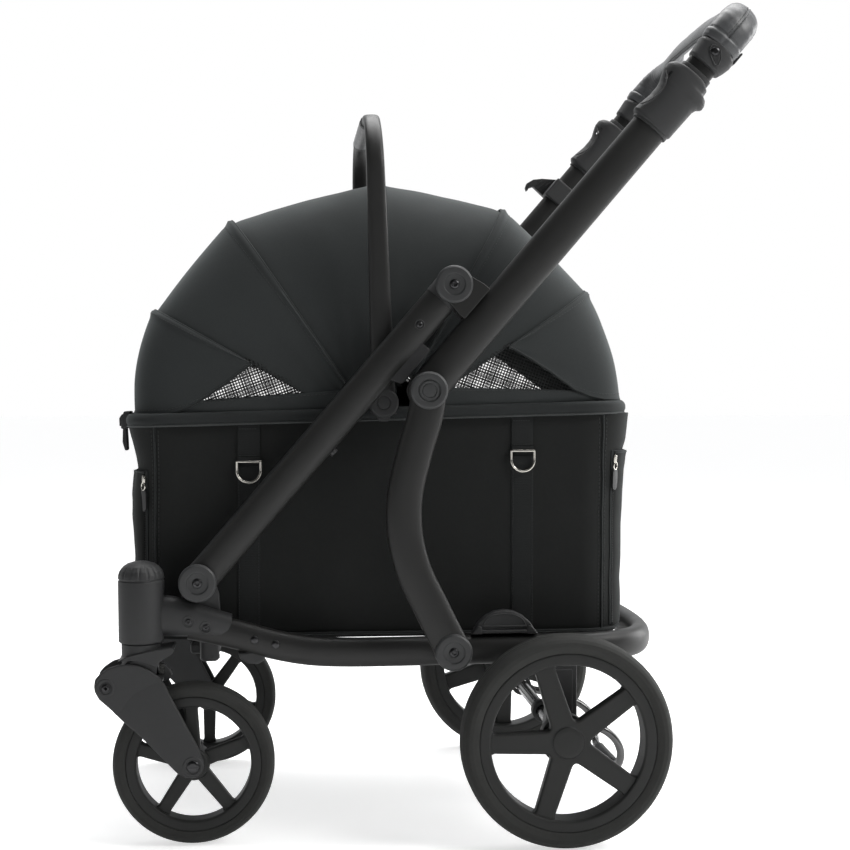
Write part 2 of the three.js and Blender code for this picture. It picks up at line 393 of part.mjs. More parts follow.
// arch of half-width w and height r, in the plane of the hoop: a superellipse, squarer towards the rim
const SQUARE = [[0, 8], [27.3, 4.4], [56.3, 3.3], [90, 3], [128.4, 3.3], [158, 4.4], [184, 8]];
function squareness(deg) {
  for (let i = 0; i + 1 < SQUARE.length; i++)
    if (deg <= SQUARE[i + 1][0]) return SQUARE[i][1] + ((SQUARE[i + 1][1] - SQUARE[i][1]) * (deg - SQUARE[i][0])) / (SQUARE[i + 1][0] - SQUARE[i][0]);
  return 8;
}
function archPoint(w, r, u, e) {
  const c = Math.cos(u), s = Math.sin(u);
  return [w * Math.sign(c) * Math.abs(c) ** (2 / e), r * Math.abs(s) ** (2 / e)];
}
function fan(a0, a1, w, floor, cap, minRho, nA, nU, thick = 3) {
  const grid = (inset) => {
    const g = [];
    for (let i = 0; i <= nA; i++) {
      const a = a0 + ((a1 - a0) * i) / nA, r = Math.min(Math.max(hoopR(a), floor), cap) - inset, row = [], ww = w - inset;
      const e = squareness(a), u0 = Math.asin(Math.min(1, (minRho / r) ** (e / 2)));
      for (let j = 0; j <= nU; j++) {
        const u = j === 0 ? u0 : j === nU ? Math.PI - u0 : (Math.PI * (j + 1)) / (nU + 2);
        const [y, rho] = archPoint(ww, r, u, e);
        row.push(V(BAIL_PIVOT[0] + rho * Math.cos(rad(a)), y, BAIL_PIVOT[1] + rho * Math.sin(rad(a))));
      }
      g.push(row);
    }
    return g;
  };
  const o = grid(0), n = grid(thick), pos = [], tri = (p, q, r) => pos.push(p.x, p.y, p.z, q.x, q.y, q.z, r.x, r.y, r.z);
  const quad = (p, q, r, t) => { tri(p, q, r); tri(p, r, t); };
  for (let i = 0; i < nA; i++)
    for (let j = 0; j < nU; j++) {
      quad(o[i][j], o[i + 1][j], o[i + 1][j + 1], o[i][j + 1]);
      quad(n[i][j], n[i][j + 1], n[i + 1][j + 1], n[i + 1][j]);
    }
  for (let j = 0; j < nU; j++) {
    quad(o[0][j], o[0][j + 1], n[0][j + 1], n[0][j]);
    quad(o[nA][j + 1], o[nA][j], n[nA][j], n[nA][j + 1]);
  }
  for (let i = 0; i < nA; i++) {
    quad(o[i + 1][0], o[i][0], n[i][0], n[i + 1][0]);
    quad(o[i][nU], o[i + 1][nU], n[i + 1][nU], n[i][nU]);
  }
  return solid(new THREE.BufferGeometry().setAttribute("position", new THREE.BufferAttribute(new Float32Array(pos), 3)));
}
piece("canopy_centre", fan(56.6, 128.1, 160, 0, 297.5, 44, 7, 12), fabric());
piece("canopy_front_panel", fan(128.8, 157.4, 165, 301.2, 303.6, 60, 5, 12), fabric());
piece("canopy_rear_panel", fan(27.8, 55.9, 165, 301.2, 303.6, 60, 5, 12), fabric());
piece("canopy_front_hood", fan(158.2, 181.2, 170, 307.8, 400, 75, 4, 12), fabric());
piece("canopy_rear_hood", fan(1.2, 27, 170, 307.8, 400, 75, 4, 12), fabric());

// bail: a flat arch hinged on both sides of the carrier, with a fatter grip at its crown
{
  const c = Math.cos(rad(BAIL_LEAN)), n = Math.sin(rad(BAIL_LEAN));
  const lean = (y, h) => V(BAIL_PIVOT[0] + h * n, y, BAIL_PIVOT[1] + h * c); // h above the pivot
  const H = BAIL_TOP - BAIL_PIVOT[1], R = 74, pts = [];
  for (const [y, h] of [[BAIL_Y, 0], [BAIL_Y, 90], [BAIL_Y, 180], [BAIL_Y, H - R]]) pts.push(lean(-y, h));
  for (let i = 1; i <= 6; i++) pts.push(lean(-(BAIL_Y - R + R * Math.cos(rad(15 * i))), H - R + R * Math.sin(rad(15 * i))));
  const all = [...pts, ...pts.map((p) => V(p.x, -p.y, p.z)).reverse()];
  const across = V(c, 0, -n);
  const hub = (s) => rodY(BAIL_PIVOT, 18, span(s, 177.5, 191.5), 28);
  const grip = sweep([lean(-84, H), lean(-78, H), lean(0, H), lean(78, H), lean(84, H)], across, 31, 19, { n: 12, e: 2.2 });
  piece("carrier_bail", join(sweep(all, across, BAIL_W, BAIL_T, { n: 10, e: 3, size: (t) => 1 - 0.2 * Math.min(1, 2.6 * Math.min(t, 1 - t)) }), hub(-1), hub(1), grip), powder());
}

export default root;
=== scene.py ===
"""Folding pet stroller with a lift-off carrier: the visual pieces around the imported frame.

Lengths in this file are millimetres in the axle frame, whose x = 0 is the rear axle; pt() turns them into the row frame's metres.
The front of the stroller is -X and its left side is -Y."""
import json
import math
import bpy
import bmesh
import numpy as np
from mathutils import Matrix, Vector, noise

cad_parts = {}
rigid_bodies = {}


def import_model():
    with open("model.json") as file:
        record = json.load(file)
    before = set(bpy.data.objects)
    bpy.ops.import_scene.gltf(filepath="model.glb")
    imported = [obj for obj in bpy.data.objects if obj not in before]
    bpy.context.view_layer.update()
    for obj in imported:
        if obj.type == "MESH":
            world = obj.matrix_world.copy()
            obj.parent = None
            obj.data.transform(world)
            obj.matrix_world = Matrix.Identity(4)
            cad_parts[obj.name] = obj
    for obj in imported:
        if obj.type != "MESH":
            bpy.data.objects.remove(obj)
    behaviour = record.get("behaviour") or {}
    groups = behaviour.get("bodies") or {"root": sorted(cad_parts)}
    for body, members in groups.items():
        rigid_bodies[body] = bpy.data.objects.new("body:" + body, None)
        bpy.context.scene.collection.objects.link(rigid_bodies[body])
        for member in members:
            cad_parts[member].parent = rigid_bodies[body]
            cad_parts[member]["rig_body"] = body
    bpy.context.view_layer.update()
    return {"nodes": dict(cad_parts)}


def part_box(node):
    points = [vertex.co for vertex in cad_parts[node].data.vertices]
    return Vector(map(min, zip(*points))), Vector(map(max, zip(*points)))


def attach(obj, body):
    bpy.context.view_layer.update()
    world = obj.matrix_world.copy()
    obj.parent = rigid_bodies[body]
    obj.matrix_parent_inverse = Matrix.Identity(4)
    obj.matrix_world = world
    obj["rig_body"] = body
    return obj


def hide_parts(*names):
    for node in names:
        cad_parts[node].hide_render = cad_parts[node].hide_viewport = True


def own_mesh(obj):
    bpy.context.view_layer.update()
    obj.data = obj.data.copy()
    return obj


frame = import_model()
lo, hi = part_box("rear_axle")
X0 = (lo.x + hi.x) / 2
NODES = frame["nodes"]
SIDES = ((-1, "left"), (1, "right"))


def pt(x, y, z):
    return Vector((X0 + x / 1000, y / 1000, z / 1000))


# ---------- the part's own dimensions ----------
REAR_R, REAR_Y, REAR_W, REAR_RIM, REAR_OPEN, REAR_AX = 125, 270, 44, 103.5, 87, (0, 125)
FRONT_R, FRONT_Y, FRONT_W, FRONT_RIM, FRONT_OPEN, FRONT_AX = 95, 210, 35, 76, 64, (-435.4, 95)
SWIVEL_X, ARM_PIVOT = -497, (-535.6, 187.4)
A, B, C, D = (-430.4, 308.7), (-127.7, 660.2), (-159.9, 534.7), (-130.8, 227.3)
TUBE_Y, LEG_Y, LOOP_Y = 213, 244.5, 205
BAIL = (-208.8, 519.7)
BAIL_Y, BAIL_TOP, BAIL_LEAN = 184.5, 871.6, math.radians(-1.95)

fa = math.atan2(B[1] - A[1], B[0] - A[0])
FT, FN = (math.cos(fa), math.sin(fa)), (math.sin(fa), -math.cos(fa))
ha = math.radians(49.5)
HT, HN = (math.cos(ha), math.sin(ha)), (math.sin(ha), -math.cos(ha))
AB = math.hypot(B[0] - A[0], B[1] - A[1])


def on_front(al, ac):
    return (A[0] + al * FT[0] + ac * FN[0], A[1] + al * FT[1] + ac * FN[1])


def on_handle(al, ac):
    return (C[0] + al * HT[0] + ac * HN[0], C[1] + al * HT[1] + ac * HN[1])


def span(s, a, b):
    return (-b, -a) if s < 0 else (a, b)


# ---------- materials ----------
class Mat:
    """A Principled material and short ways to wire its detail."""

    def __init__(self, name, color, rough, metal=0.0, **sockets):
        self.m = bpy.data.materials.new(name)
        self.m.use_nodes = True
        self.t = self.m.node_tree
        self.b = self.t.nodes["Principled BSDF"]
        self.b.inputs["Base Color"].default_value = (*color, 1)
        self.b.inputs["Roughness"].default_value = rough
        self.b.inputs["Metallic"].default_value = metal
        for k, v in sockets.items():
            self.b.inputs[k.replace("_", " ")].default_value = v
        self.color = color
        self.m.diffuse_color = (*color, 1)
        self.height = None

    def node(self, kind, **props):
        n = self.t.nodes.new(kind)
        for k, v in props.items():
            setattr(n, k, v)
        return n

    def link(self, a, b):
        self.t.links.new(a, b)

    def coord(self, which="Object"):
        return self.node("ShaderNodeTexCoord").outputs[which]

    def uv(self, name):
        return self.node("ShaderNodeUVMap", uv_map=name).outputs[0]

    def noise(self, scale, detail=3.0, rough=0.55, vec=None):
        n = self.node("ShaderNodeTexNoise")
        n.inputs["Scale"].default_value = scale
        n.inputs["Detail"].default_value = detail
        n.inputs["Roughness"].default_value = rough
        self.link(vec if vec is not None else self.coord(), n.inputs["Vector"])
        return n.outputs["Fac"]

    def voronoi(self, scale, feature="F1", vec=None):
        n = self.node("ShaderNodeTexVoronoi", feature=feature)
        n.inputs["Scale"].default_value = scale
        self.link(vec if vec is not None else self.coord(), n.inputs["Vector"])
        return n.outputs["Distance"]

    def math(self, op, a, b=None, c=None):
        n = self.node("ShaderNodeMath", operation=op)
        for i, v in enumerate((a, b, c)):
            if v is None:
                continue
            if isinstance(v, (int, float)):
                n.inputs[i].default_value = v
            else:
                self.link(v, n.inputs[i])
        return n.outputs[0]

    def ramp(self, fac, stops):
        n = self.node("ShaderNodeValToRGB")
        while len(n.color_ramp.elements) < len(stops):
            n.color_ramp.elements.new(0.5)
        for e, (p, v) in zip(n.color_ramp.elements, stops):
            e.position = p
            e.color = (v, v, v, 1) if isinstance(v, (int, float)) else (*v, 1)
        self.link(fac, n.inputs[0])
        return n.outputs[0]

    def vary(self, fac, low, high, socket="Base Color"):
        """fac blends the socket between two values"""
        if socket == "Base Color":
            c = self.ramp(fac, [(0.25, tuple(v * low for v in self.color)), (0.75, tuple(v * high for v in self.color))])
            self.link(c, self.b.inputs[socket])
        else:
            n = self.node("ShaderNodeMapRange")
            n.inputs["To Min"].default_value = low
            n.inputs["To Max"].default_value = high
            self.link(fac, n.inputs["Value"])
            self.link(n.outputs[0], self.b.inputs[socket])
        return self

    def bump(self, height, strength, distance):
        n = self.node("ShaderNodeBump")
        n.inputs["Strength"].default_value = strength
        n.inputs["Distance"].default_value = distance
        self.link(height, n.inputs["Height"])
        if self.height is not None:
            self.link(self.height, n.inputs["Normal"])
        self.height = n.outputs["Normal"]
        self.link(self.height, self.b.inputs["Normal"])
        return self

    def separate(self, vec):
        n = self.node("ShaderNodeSeparateXYZ")
        self.link(vec, n.inputs[0])
        return n.outputs

    def weave(self, pitch, strength=0.35, depth=0.00012, twill=False, vec=None):
        """Threads over and under, pitch in mm on the metric UV map (1 UV unit is 100 mm)."""
        u = self.separate(vec if vec is not None else self.uv("UVMap"))
        k = math.pi * 100 / pitch
        wob = self.math("MULTIPLY", self.math("SUBTRACT", self.noise(90, 2), 0.5), 0.9)
        a = self.math("ADD", self.math("MULTIPLY", u[0], k), wob)
        b = self.math("ADD", self.math("MULTIPLY", u[1], k), wob)
        if twill:
            a = self.math("ADD", a, b)
            h = self.math("MULTIPLY", self.math("ABSOLUTE", self.math("SINE", a)), self.math("ABSOLUTE", self.math("SINE", self.math("MULTIPLY", b, 0.5))))
        else:
            h = self.math("MULTIPLY", self.math("SINE", a), self.math("SINE", b))
            h = self.math("MULTIPLY_ADD", h, 0.5, 0.5)
        self.bump(h, strength, depth)
        return h


def powder_coat(name, color, rough=0.44):
    k = Mat(name, color, rough, 0.0, Specular_IOR_Level=0.38)
    k.vary(k.noise(22, 4), 0.93, 1.08)
    k.vary(k.noise(60, 3), rough - 0.05, rough + 0.06, "Roughness")
    k.bump(k.noise(2600, 2), 0.22, 0.00012)
    k.bump(k.noise(420, 2), 0.05, 0.0003)
    return k.m


def moulded(name, color, rough=0.55, grain=3200, strength=0.3, shine=0.5):
    k = Mat(name, color, rough, 0.0, Specular_IOR_Level=shine)
    k.vary(k.noise(15, 3), 0.93, 1.07)
    k.vary(k.noise(140, 3), rough - 0.06, rough + 0.08, "Roughness")
    k.bump(k.voronoi(grain), strength, 0.00009)
    return k.m


M_TUBE = powder_coat("powder_coat_charcoal", (0.0150, 0.0150, 0.0146))
# the frame's powder coat again, made darker for the rear legs and handle brackets: painted shade
M_LEG_PAINTED_SHADE = powder_coat("powder_coat_leg_painted_shade", (0.0128, 0.0128, 0.0123), 0.42)
M_PLASTIC = moulded("moulding_black", (0.0245, 0.0250, 0.0258))
M_WHEEL = moulded("moulding_wheel", (0.0150, 0.0155, 0.0149), 0.5, 2600, 0.25, 0.36)
M_DARK = moulded("moulding_shadow", (0.011, 0.011, 0.012), 0.6)
M_CAP = moulded("pivot_disc", (0.031, 0.032, 0.033), 0.45, 4200, 0.12)


def _rubber():
    k = Mat("tyre_rubber", (0.028, 0.0285, 0.027), 0.76, 0.0, Specular_IOR_Level=0.35)
    k.vary(k.noise(30, 5, 0.65), 0.88, 1.15)
    k.vary(k.noise(220, 3), 0.7, 0.88, "Roughness")
    k.bump(k.noise(1700, 3), 0.3, 0.00018)
    return k.m


M_RUBBER = _rubber()


def _steel(name, color, rough):
    k = Mat(name, color, rough, 1.0)
    k.vary(k.noise(40, 3), 0.9, 1.08)
    k.vary(k.noise(700, 2), rough - 0.05, rough + 0.1, "Roughness")
    k.bump(k.noise(1200, 2), 0.06, 0.0001)
    return k.m


M_STEEL = _steel("steel_blackened", (0.13, 0.13, 0.13), 0.22)
M_SCREW = _steel("screw_black", (0.06, 0.06, 0.062), 0.28)
M_NICKEL = _steel("nickel_ring", (0.62, 0.60, 0.55), 0.2)


def _leather():
    k = Mat("grip_leather", (0.062, 0.064, 0.067), 0.38, 0.0, Specular_IOR_Level=0.5, Coat_Weight=0.12, Coat_Roughness=0.35)
    k.vary(k.noise(35, 4), 0.86, 1.14)
    k.vary(k.noise(160, 4), 0.32, 0.46, "Roughness")
    cells = k.math("SUBTRACT", 1.0, k.math("MINIMUM", k.math("MULTIPLY", k.voronoi(720, "DISTANCE_TO_EDGE"), 5.0), 1.0))
    k.bump(k.math("SUBTRACT", 1.0, cells), 0.3, 0.00016)
    k.bump(k.noise(260, 4), 0.15, 0.0004)
    return k.m


M_LEATHER = _leather()


def _cloth(name, color, pitch, strength=0.35, sheen=0.3, rough=0.85, tint=(0.55, 0.6, 0.6), twill=False, wrinkle=0.12):
    k = Mat(name, color, rough, 0.0, Specular_IOR_Level=0.25, Sheen_Weight=sheen, Sheen_Roughness=0.45, Sheen_Tint=(*tint, 1))
    yarn = k.noise(700, 2)
    k.vary(k.math("MULTIPLY_ADD", yarn, 0.35, k.math("MULTIPLY", k.noise(9, 4), 0.65)), 0.86, 1.14)
    k.vary(k.noise(300, 2), rough - 0.06, min(1.0, rough + 0.08), "Roughness")
    k.weave(pitch, strength, 0.00014, twill)
    k.bump(k.noise(38, 3), wrinkle, 0.0012)
    return k.m


M_CANOPY = _cloth("canopy_cloth", (0.0300, 0.0330, 0.0333), 0.8, 0.3, 0.22)
M_ROLL = _cloth("rim_cloth", (0.0205, 0.0225, 0.0227), 0.8, 0.3, 0.16)
# a real piping cord, its colour lighter than the cloth around it as a painted highlight
M_PIPING_PAINTED_HIGHLIGHT = _cloth("piping_cord_painted_highlight", (0.055, 0.058, 0.058), 1.2, 0.6, 0.25, twill=True)
M_PANEL = _cloth("carrier_cloth", (0.0112, 0.0120, 0.0116), 0.9, 0.4, 0.10)
M_LINING = _cloth("lining_cloth", (0.022, 0.023, 0.023), 1.1, 0.35, 0.15)
M_PAD = _cloth("pad_cloth", (0.05, 0.053, 0.054), 1.2, 0.5, 0.35, twill=True)
M_BINDING = _cloth("binding_tape", (0.020, 0.022, 0.022), 1.4, 0.7, 0.2, twill=True)
M_WEB = _cloth("webbing", (0.0135, 0.0146, 0.0146), 1.5, 0.9, 0.25, twill=True, wrinkle=0.03)
M_NET = _cloth("window_net", (0.020, 0.021, 0.021), 0.7, 0.3, 0.2)


def _thread():
    k = Mat("thread", (0.027, 0.029, 0.029), 0.6, 0.0, Specular_IOR_Level=0.4)
    k.vary(k.noise(900, 2), 0.8, 1.2)
    k.bump(k.noise(2400, 2), 0.4, 0.0001)
    return k.m


M_THREAD = _thread()


# ---------- mesh code ----------
class Shape:
    def __init__(self):
        self.v, self.f, self.m, self.uv = [], [], [], []

    def add(self, verts, faces, mat=0, uv=None):
        o = len(self.v)
        self.v.extend((float(p[0]), float(p[1]), float(p[2])) for p in verts)
        for i, f in enumerate(faces):
            self.f.append([o + k for k in f])
            self.m.append(mat)
            self.uv.append(uv[i] if uv is not None else None)
        return self


def finish_mesh(name, shape, mats, angle=40, flip=False, recalc=True):
    me = bpy.data.meshes.new(name)
    me.from_pydata([pt(*p) for p in shape.v], [], shape.f)
    layer = me.uv_layers.new(name="UVMap")
    flat = []
    for f, uv in zip(shape.f, shape.uv):
        if uv is None:
            a = np.array([shape.v[k] for k in f])
            n = np.abs(np.cross(a[1] - a[0], a[2] - a[1]))
            drop = int(np.argmax(n))
            keep = [i for i in range(3) if i != drop]
            flat.extend((p[keep[0]] / 100, p[keep[1]] / 100) for p in a)
        else:
            flat.extend((u / 100, w / 100) for u, w in uv)
    layer.data.foreach_set("uv", np.array(flat, np.float32).ravel())
    me.polygons.foreach_set("material_index", np.array(shape.m, np.int32))
    for m in mats:
        me.materials.append(m)
    if recalc:
        bm = bmesh.new()
        bm.from_mesh(me)
        bmesh.ops.recalc_face_normals(bm, faces=bm.faces)
        bm.to_mesh(me)
        bm.free()
    me.shade_smooth()
    me.set_sharp_from_angle(angle=math.radians(angle))
    ob = bpy.data.objects.new(name, me)
    bpy.context.scene.collection.objects.link(ob)
    return ob


def make(name, shape, mats, slot, *nodes, body=None, angle=40, recalc=True):
    """A finished piece that rides with a body and stands for CAD nodes."""
    ob = finish_mesh(name, shape, mats, angle, recalc=recalc)
    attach(ob, body or NODES[nodes[0]]["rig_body"])
    if nodes:
        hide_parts(*nodes)
    return ob


def smooth(points, n):
    """Centripetal Catmull-Rom through the points, n + 1 samples evenly spaced in the parameter."""
    p = [np.array(q, float) for q in points]
    p = [2 * p[0] - p[1]] + p + [2 * p[-1] - p[-2]]
    out, seg = [], len(points) - 1
    for i in range(n + 1):
        t = i / n * seg
        k = min(int(t), seg - 1)
        w = t - k
        a, b, c, d = p[k : k + 4]
        t0 = max(np.linalg.norm(b - a) ** 0.5, 1e-4)
        t1 = max(np.linalg.norm(c - b) ** 0.5, 1e-4)
        t2 = max(np.linalg.norm(d - c) ** 0.5, 1e-4)
        m1 = ((b - a) / t0 - (c - a) / (t0 + t1) + (c - b) / t1) * t1
        m2 = ((c - b) / t1 - (d - b) / (t1 + t2) + (d - c) / t2) * t1
        out.append((2 * w**3 - 3 * w**2 + 1) * b + (w**3 - 2 * w**2 + w) * m1 + (-2 * w**3 + 3 * w**2) * c + (w**3 - w**2) * m2)
    return out


def even(points, n, closed=False):
    """The same line with n + 1 points spaced evenly along it."""
    p = np.array(points + [points[0]] if closed else points, float)
    s = np.concatenate([[0], np.cumsum(np.linalg.norm(np.diff(p, axis=0), axis=1))])
    t = np.linspace(0, s[-1], n + 1)
    q = np.stack([np.interp(t, s, p[:, k]) for k in range(3)], 1)
    return list(q[:-1]) if closed else list(q)


def rounded(pts, r=2.0, n=4, closed=True):
    """Corners turned into small curves. A point may carry its own radius as a third number."""
    out, N = [], len(pts)
    for i, p in enumerate(pts):
        rr = p[2] if len(p) > 2 else r
        b = np.array(p[:2], float)
        if rr <= 0 or (not closed and i in (0, N - 1)):
            out.append(b)
            continue
        a, c = np.array(pts[i - 1][:2], float), np.array(pts[(i + 1) % N][:2], float)
        u, v = a - b, c - b
        lu, lv = np.linalg.norm(u), np.linalg.norm(v)
        u, v = u / lu, v / lv
        ang = math.acos(max(-1, min(1, float(u @ v))))
        if ang > math.radians(174):
            out.append(b)
            continue
        t = min(rr / math.tan(ang / 2), 0.48 * lu, 0.48 * lv)
        for k in range(n + 1):
            w = k / n
            out.append((1 - w) ** 2 * (b + u * t) + 2 * w * (1 - w) * b + w * w * (b + v * t))
    return [tuple(q) for q in out]


def arc(c, r, a0, a1, n):
    return [(c[0] + r * math.cos(math.radians(a0 + (a1 - a0) * i / n)), c[1] + r * math.sin(math.radians(a0 + (a1 - a0) * i / n))) for i in range(n + 1)]


def inset_rings(q, dists, step=0.25):
    """The outline moved inwards by each distance, vertex for vertex; a convex corner that runs out of room closes to a point and moves on as one."""
    pos = np.array(q, float)
    N = len(pos)
    group = list(range(N))
    cur, out = 0.0, []
    for d in dists:
        while cur < d - 1e-9:
            st = min(step, d - cur)
            ids = [group[0]] + [group[i] for i in range(1, N) if group[i] != group[i - 1]]
            if len(ids) > 1 and ids[-1] == ids[0]:
                ids.pop()
            M = len(ids)
            if M < 4:
                break
            Q = pos[ids]
            E = np.roll(Q, -1, 0) - Q
            n = np.stack([-E[:, 1], E[:, 0]], 1) / np.maximum(1e-9, np.linalg.norm(E, axis=1, keepdims=True))
            prev = np.roll(n, 1, 0)
            new = Q + (prev + n) / np.maximum(0.35, 1 + (prev * n).sum(1, keepdims=True)) * st
            flip = ((np.roll(new, -1, 0) - new) * E).sum(1) <= 1e-4 * (E * E).sum(1) + 1e-7
            rename = {}
            for k in np.nonzero(flip)[0]:
                j = (k + 1) % M
                m = (new[k] + new[j]) / 2
                new[k] = new[j] = m
                rename[ids[j]] = rename.get(ids[k], ids[k])
            for k, i in enumerate(ids):
                pos[i] = new[k]
            for i in range(N):
                seen = set()
                while group[i] in rename and group[i] not in seen:
                    seen.add(group[i])
                    group[i] = rename[group[i]]
            cur += st
        out.append(pos[group].copy())
    return out


def prism(S, pts, a, b, axis="y", bev=1.2, r=0.0, seg=4, mat=0, n=4):
    """An outline extruded from a to b, its edges rounded. Axis y takes [x, z] points, axis z takes [x, y]."""
    q = rounded(pts, r, n) if r > 0 else [tuple(p[:2]) for p in pts]
    keep = []
    for p in q:
        if not keep or math.hypot(p[0] - keep[-1][0], p[1] - keep[-1][1]) > 0.02:
            keep.append(p)
    if math.hypot(keep[0][0] - keep[-1][0], keep[0][1] - keep[-1][1]) < 0.02:
        keep.pop()
    q = keep
    area2 = sum(q[i][0] * q[(i + 1) % len(q)][1] - q[(i + 1) % len(q)][0] * q[i][1] for i in range(len(q)))
    if area2 < 0:
        q = q[::-1]
    bev = min(bev, abs(b - a) * 0.46)
    hold = min(0.4, bev * 0.6)
    levels = [(bev * (1 - math.cos(math.pi / 2 * k / seg)), bev * (1 - math.sin(math.pi / 2 * k / seg))) for k in range(seg + 1)]
    rings = inset_rings(q, [l[0] for l in levels] + [bev + hold])
    lo_h, hi_h = min(a, b), max(a, b)
    stack = [(rings[-1], lo_h)] + [(rings[k], lo_h + levels[k][1]) for k in range(seg, -1, -1)]
    stack += [(rings[0], lo_h + bev + 0.3 * hold), (rings[0], hi_h - bev - 0.3 * hold)] if hi_h - lo_h > 2 * bev + hold else []
    stack += [(rings[k], hi_h - levels[k][1]) for k in range(seg + 1)] + [(rings[-1], hi_h)]
    bm = bmesh.new()
    rows = []
    for ring, h in stack:
        row, first = [], {}
        for p in ring:
            key = (round(float(p[0]), 4), round(float(p[1]), 4))
            if row and row[-1][1] == key:
                row.append(row[-1])
                continue
            v = bm.verts.new((p[0], h, p[1]) if axis == "y" else (p[0], p[1], h))
            row.append((v, key))
        if len(row) > 1 and row[0][1] == row[-1][1] and row[0][0] is not row[-1][0]:
            last = row[-1][0]
            row = [row[0] if v is last else (v, k) for v, k in row]
            bm.verts.remove(last)
        rows.append([v for v, _ in row])
    def face(vs):
        u = []
        for v in vs:
            if v not in u:
                u.append(v)
        if len(u) > 2:
            try:
                bm.faces.new(u)
            except ValueError:
                pass
    m = len(q)
    for lo_r, hi_r in zip(rows, rows[1:]):
        for i in range(m):
            j = (i + 1) % m
            face((lo_r[i], lo_r[j], hi_r[j], hi_r[i]))
    face(rows[0][::-1])
    face(rows[-1])
    bmesh.ops.recalc_face_normals(bm, faces=bm.faces)
    bm.verts.index_update()
    S.add([v.co[:] for v in bm.verts], [[v.index for v in f.verts] for f in bm.faces], mat)
    bm.free()
    return S


def lathe(S, profile, c, h0=0.0, axis="y", n=64, mat=0, r=0.6, seg=3, sign=1, y=0.0, wobble=None):
    """A profile of [radius, height] turned about the Y axle at c = (x, z), or about the vertical at c = (x, y). Closed where it doesn't start on the axis."""
    closed = profile[0][0] > 0
    pr = rounded(profile, r, seg, closed=closed)
    rows, m = [], len(pr)
    for k in range(n):
        t = 2 * math.pi * k / n
        row = []
        for i, (rad, h) in enumerate(pr):
            q = rad + (wobble(rad, h, t) if wobble else 0)
            if axis == "y":
                row.append((c[0] + q * math.cos(t), h0 + sign * h, c[1] + q * math.sin(t)))
            else:
                row.append((c[0] + q * math.cos(t), c[1] + q * math.sin(t), h0 + sign * h))
        rows.append(row)
    verts, faces, uvs = [], [], []
    L = [0.0]
    for i in range(1, m + 1):
        a, b = pr[i - 1], pr[i % m]
        L.append(L[-1] + math.hypot(b[0] - a[0], b[1] - a[1]))
    idx = {}
    for k in range(n):
        for i in range(m):
            if not closed and pr[i][0] < 1e-6:
                if ("axis", i) not in idx:
                    idx["axis", i] = len(verts)
                    verts.append(rows[k][i])
                idx[k, i] = idx["axis", i]
            else:
                idx[k, i] = len(verts)
                verts.append(rows[k][i])
    R = max(p[0] for p in pr)
    for k in range(n):
        kk = (k + 1) % n
        for i in range(m if closed else m - 1):
            j = (i + 1) % m
            f = [idx[k, i], idx[k, j], idx[kk, j], idx[kk, i]]
            u0, u1 = 2 * math.pi * R * k / n, 2 * math.pi * R * (k + 1) / n
            uv = [(u0, L[i]), (u0, L[i + 1]), (u1, L[i + 1]), (u1, L[i])]
            g, w = [], []
            for a, b in zip(f, uv):
                if a not in g:
                    g.append(a)
                    w.append(b)
            if len(g) > 2:
                faces.append(g)
                uvs.append(w)
    S.add(verts, faces, mat, uvs)
    return S


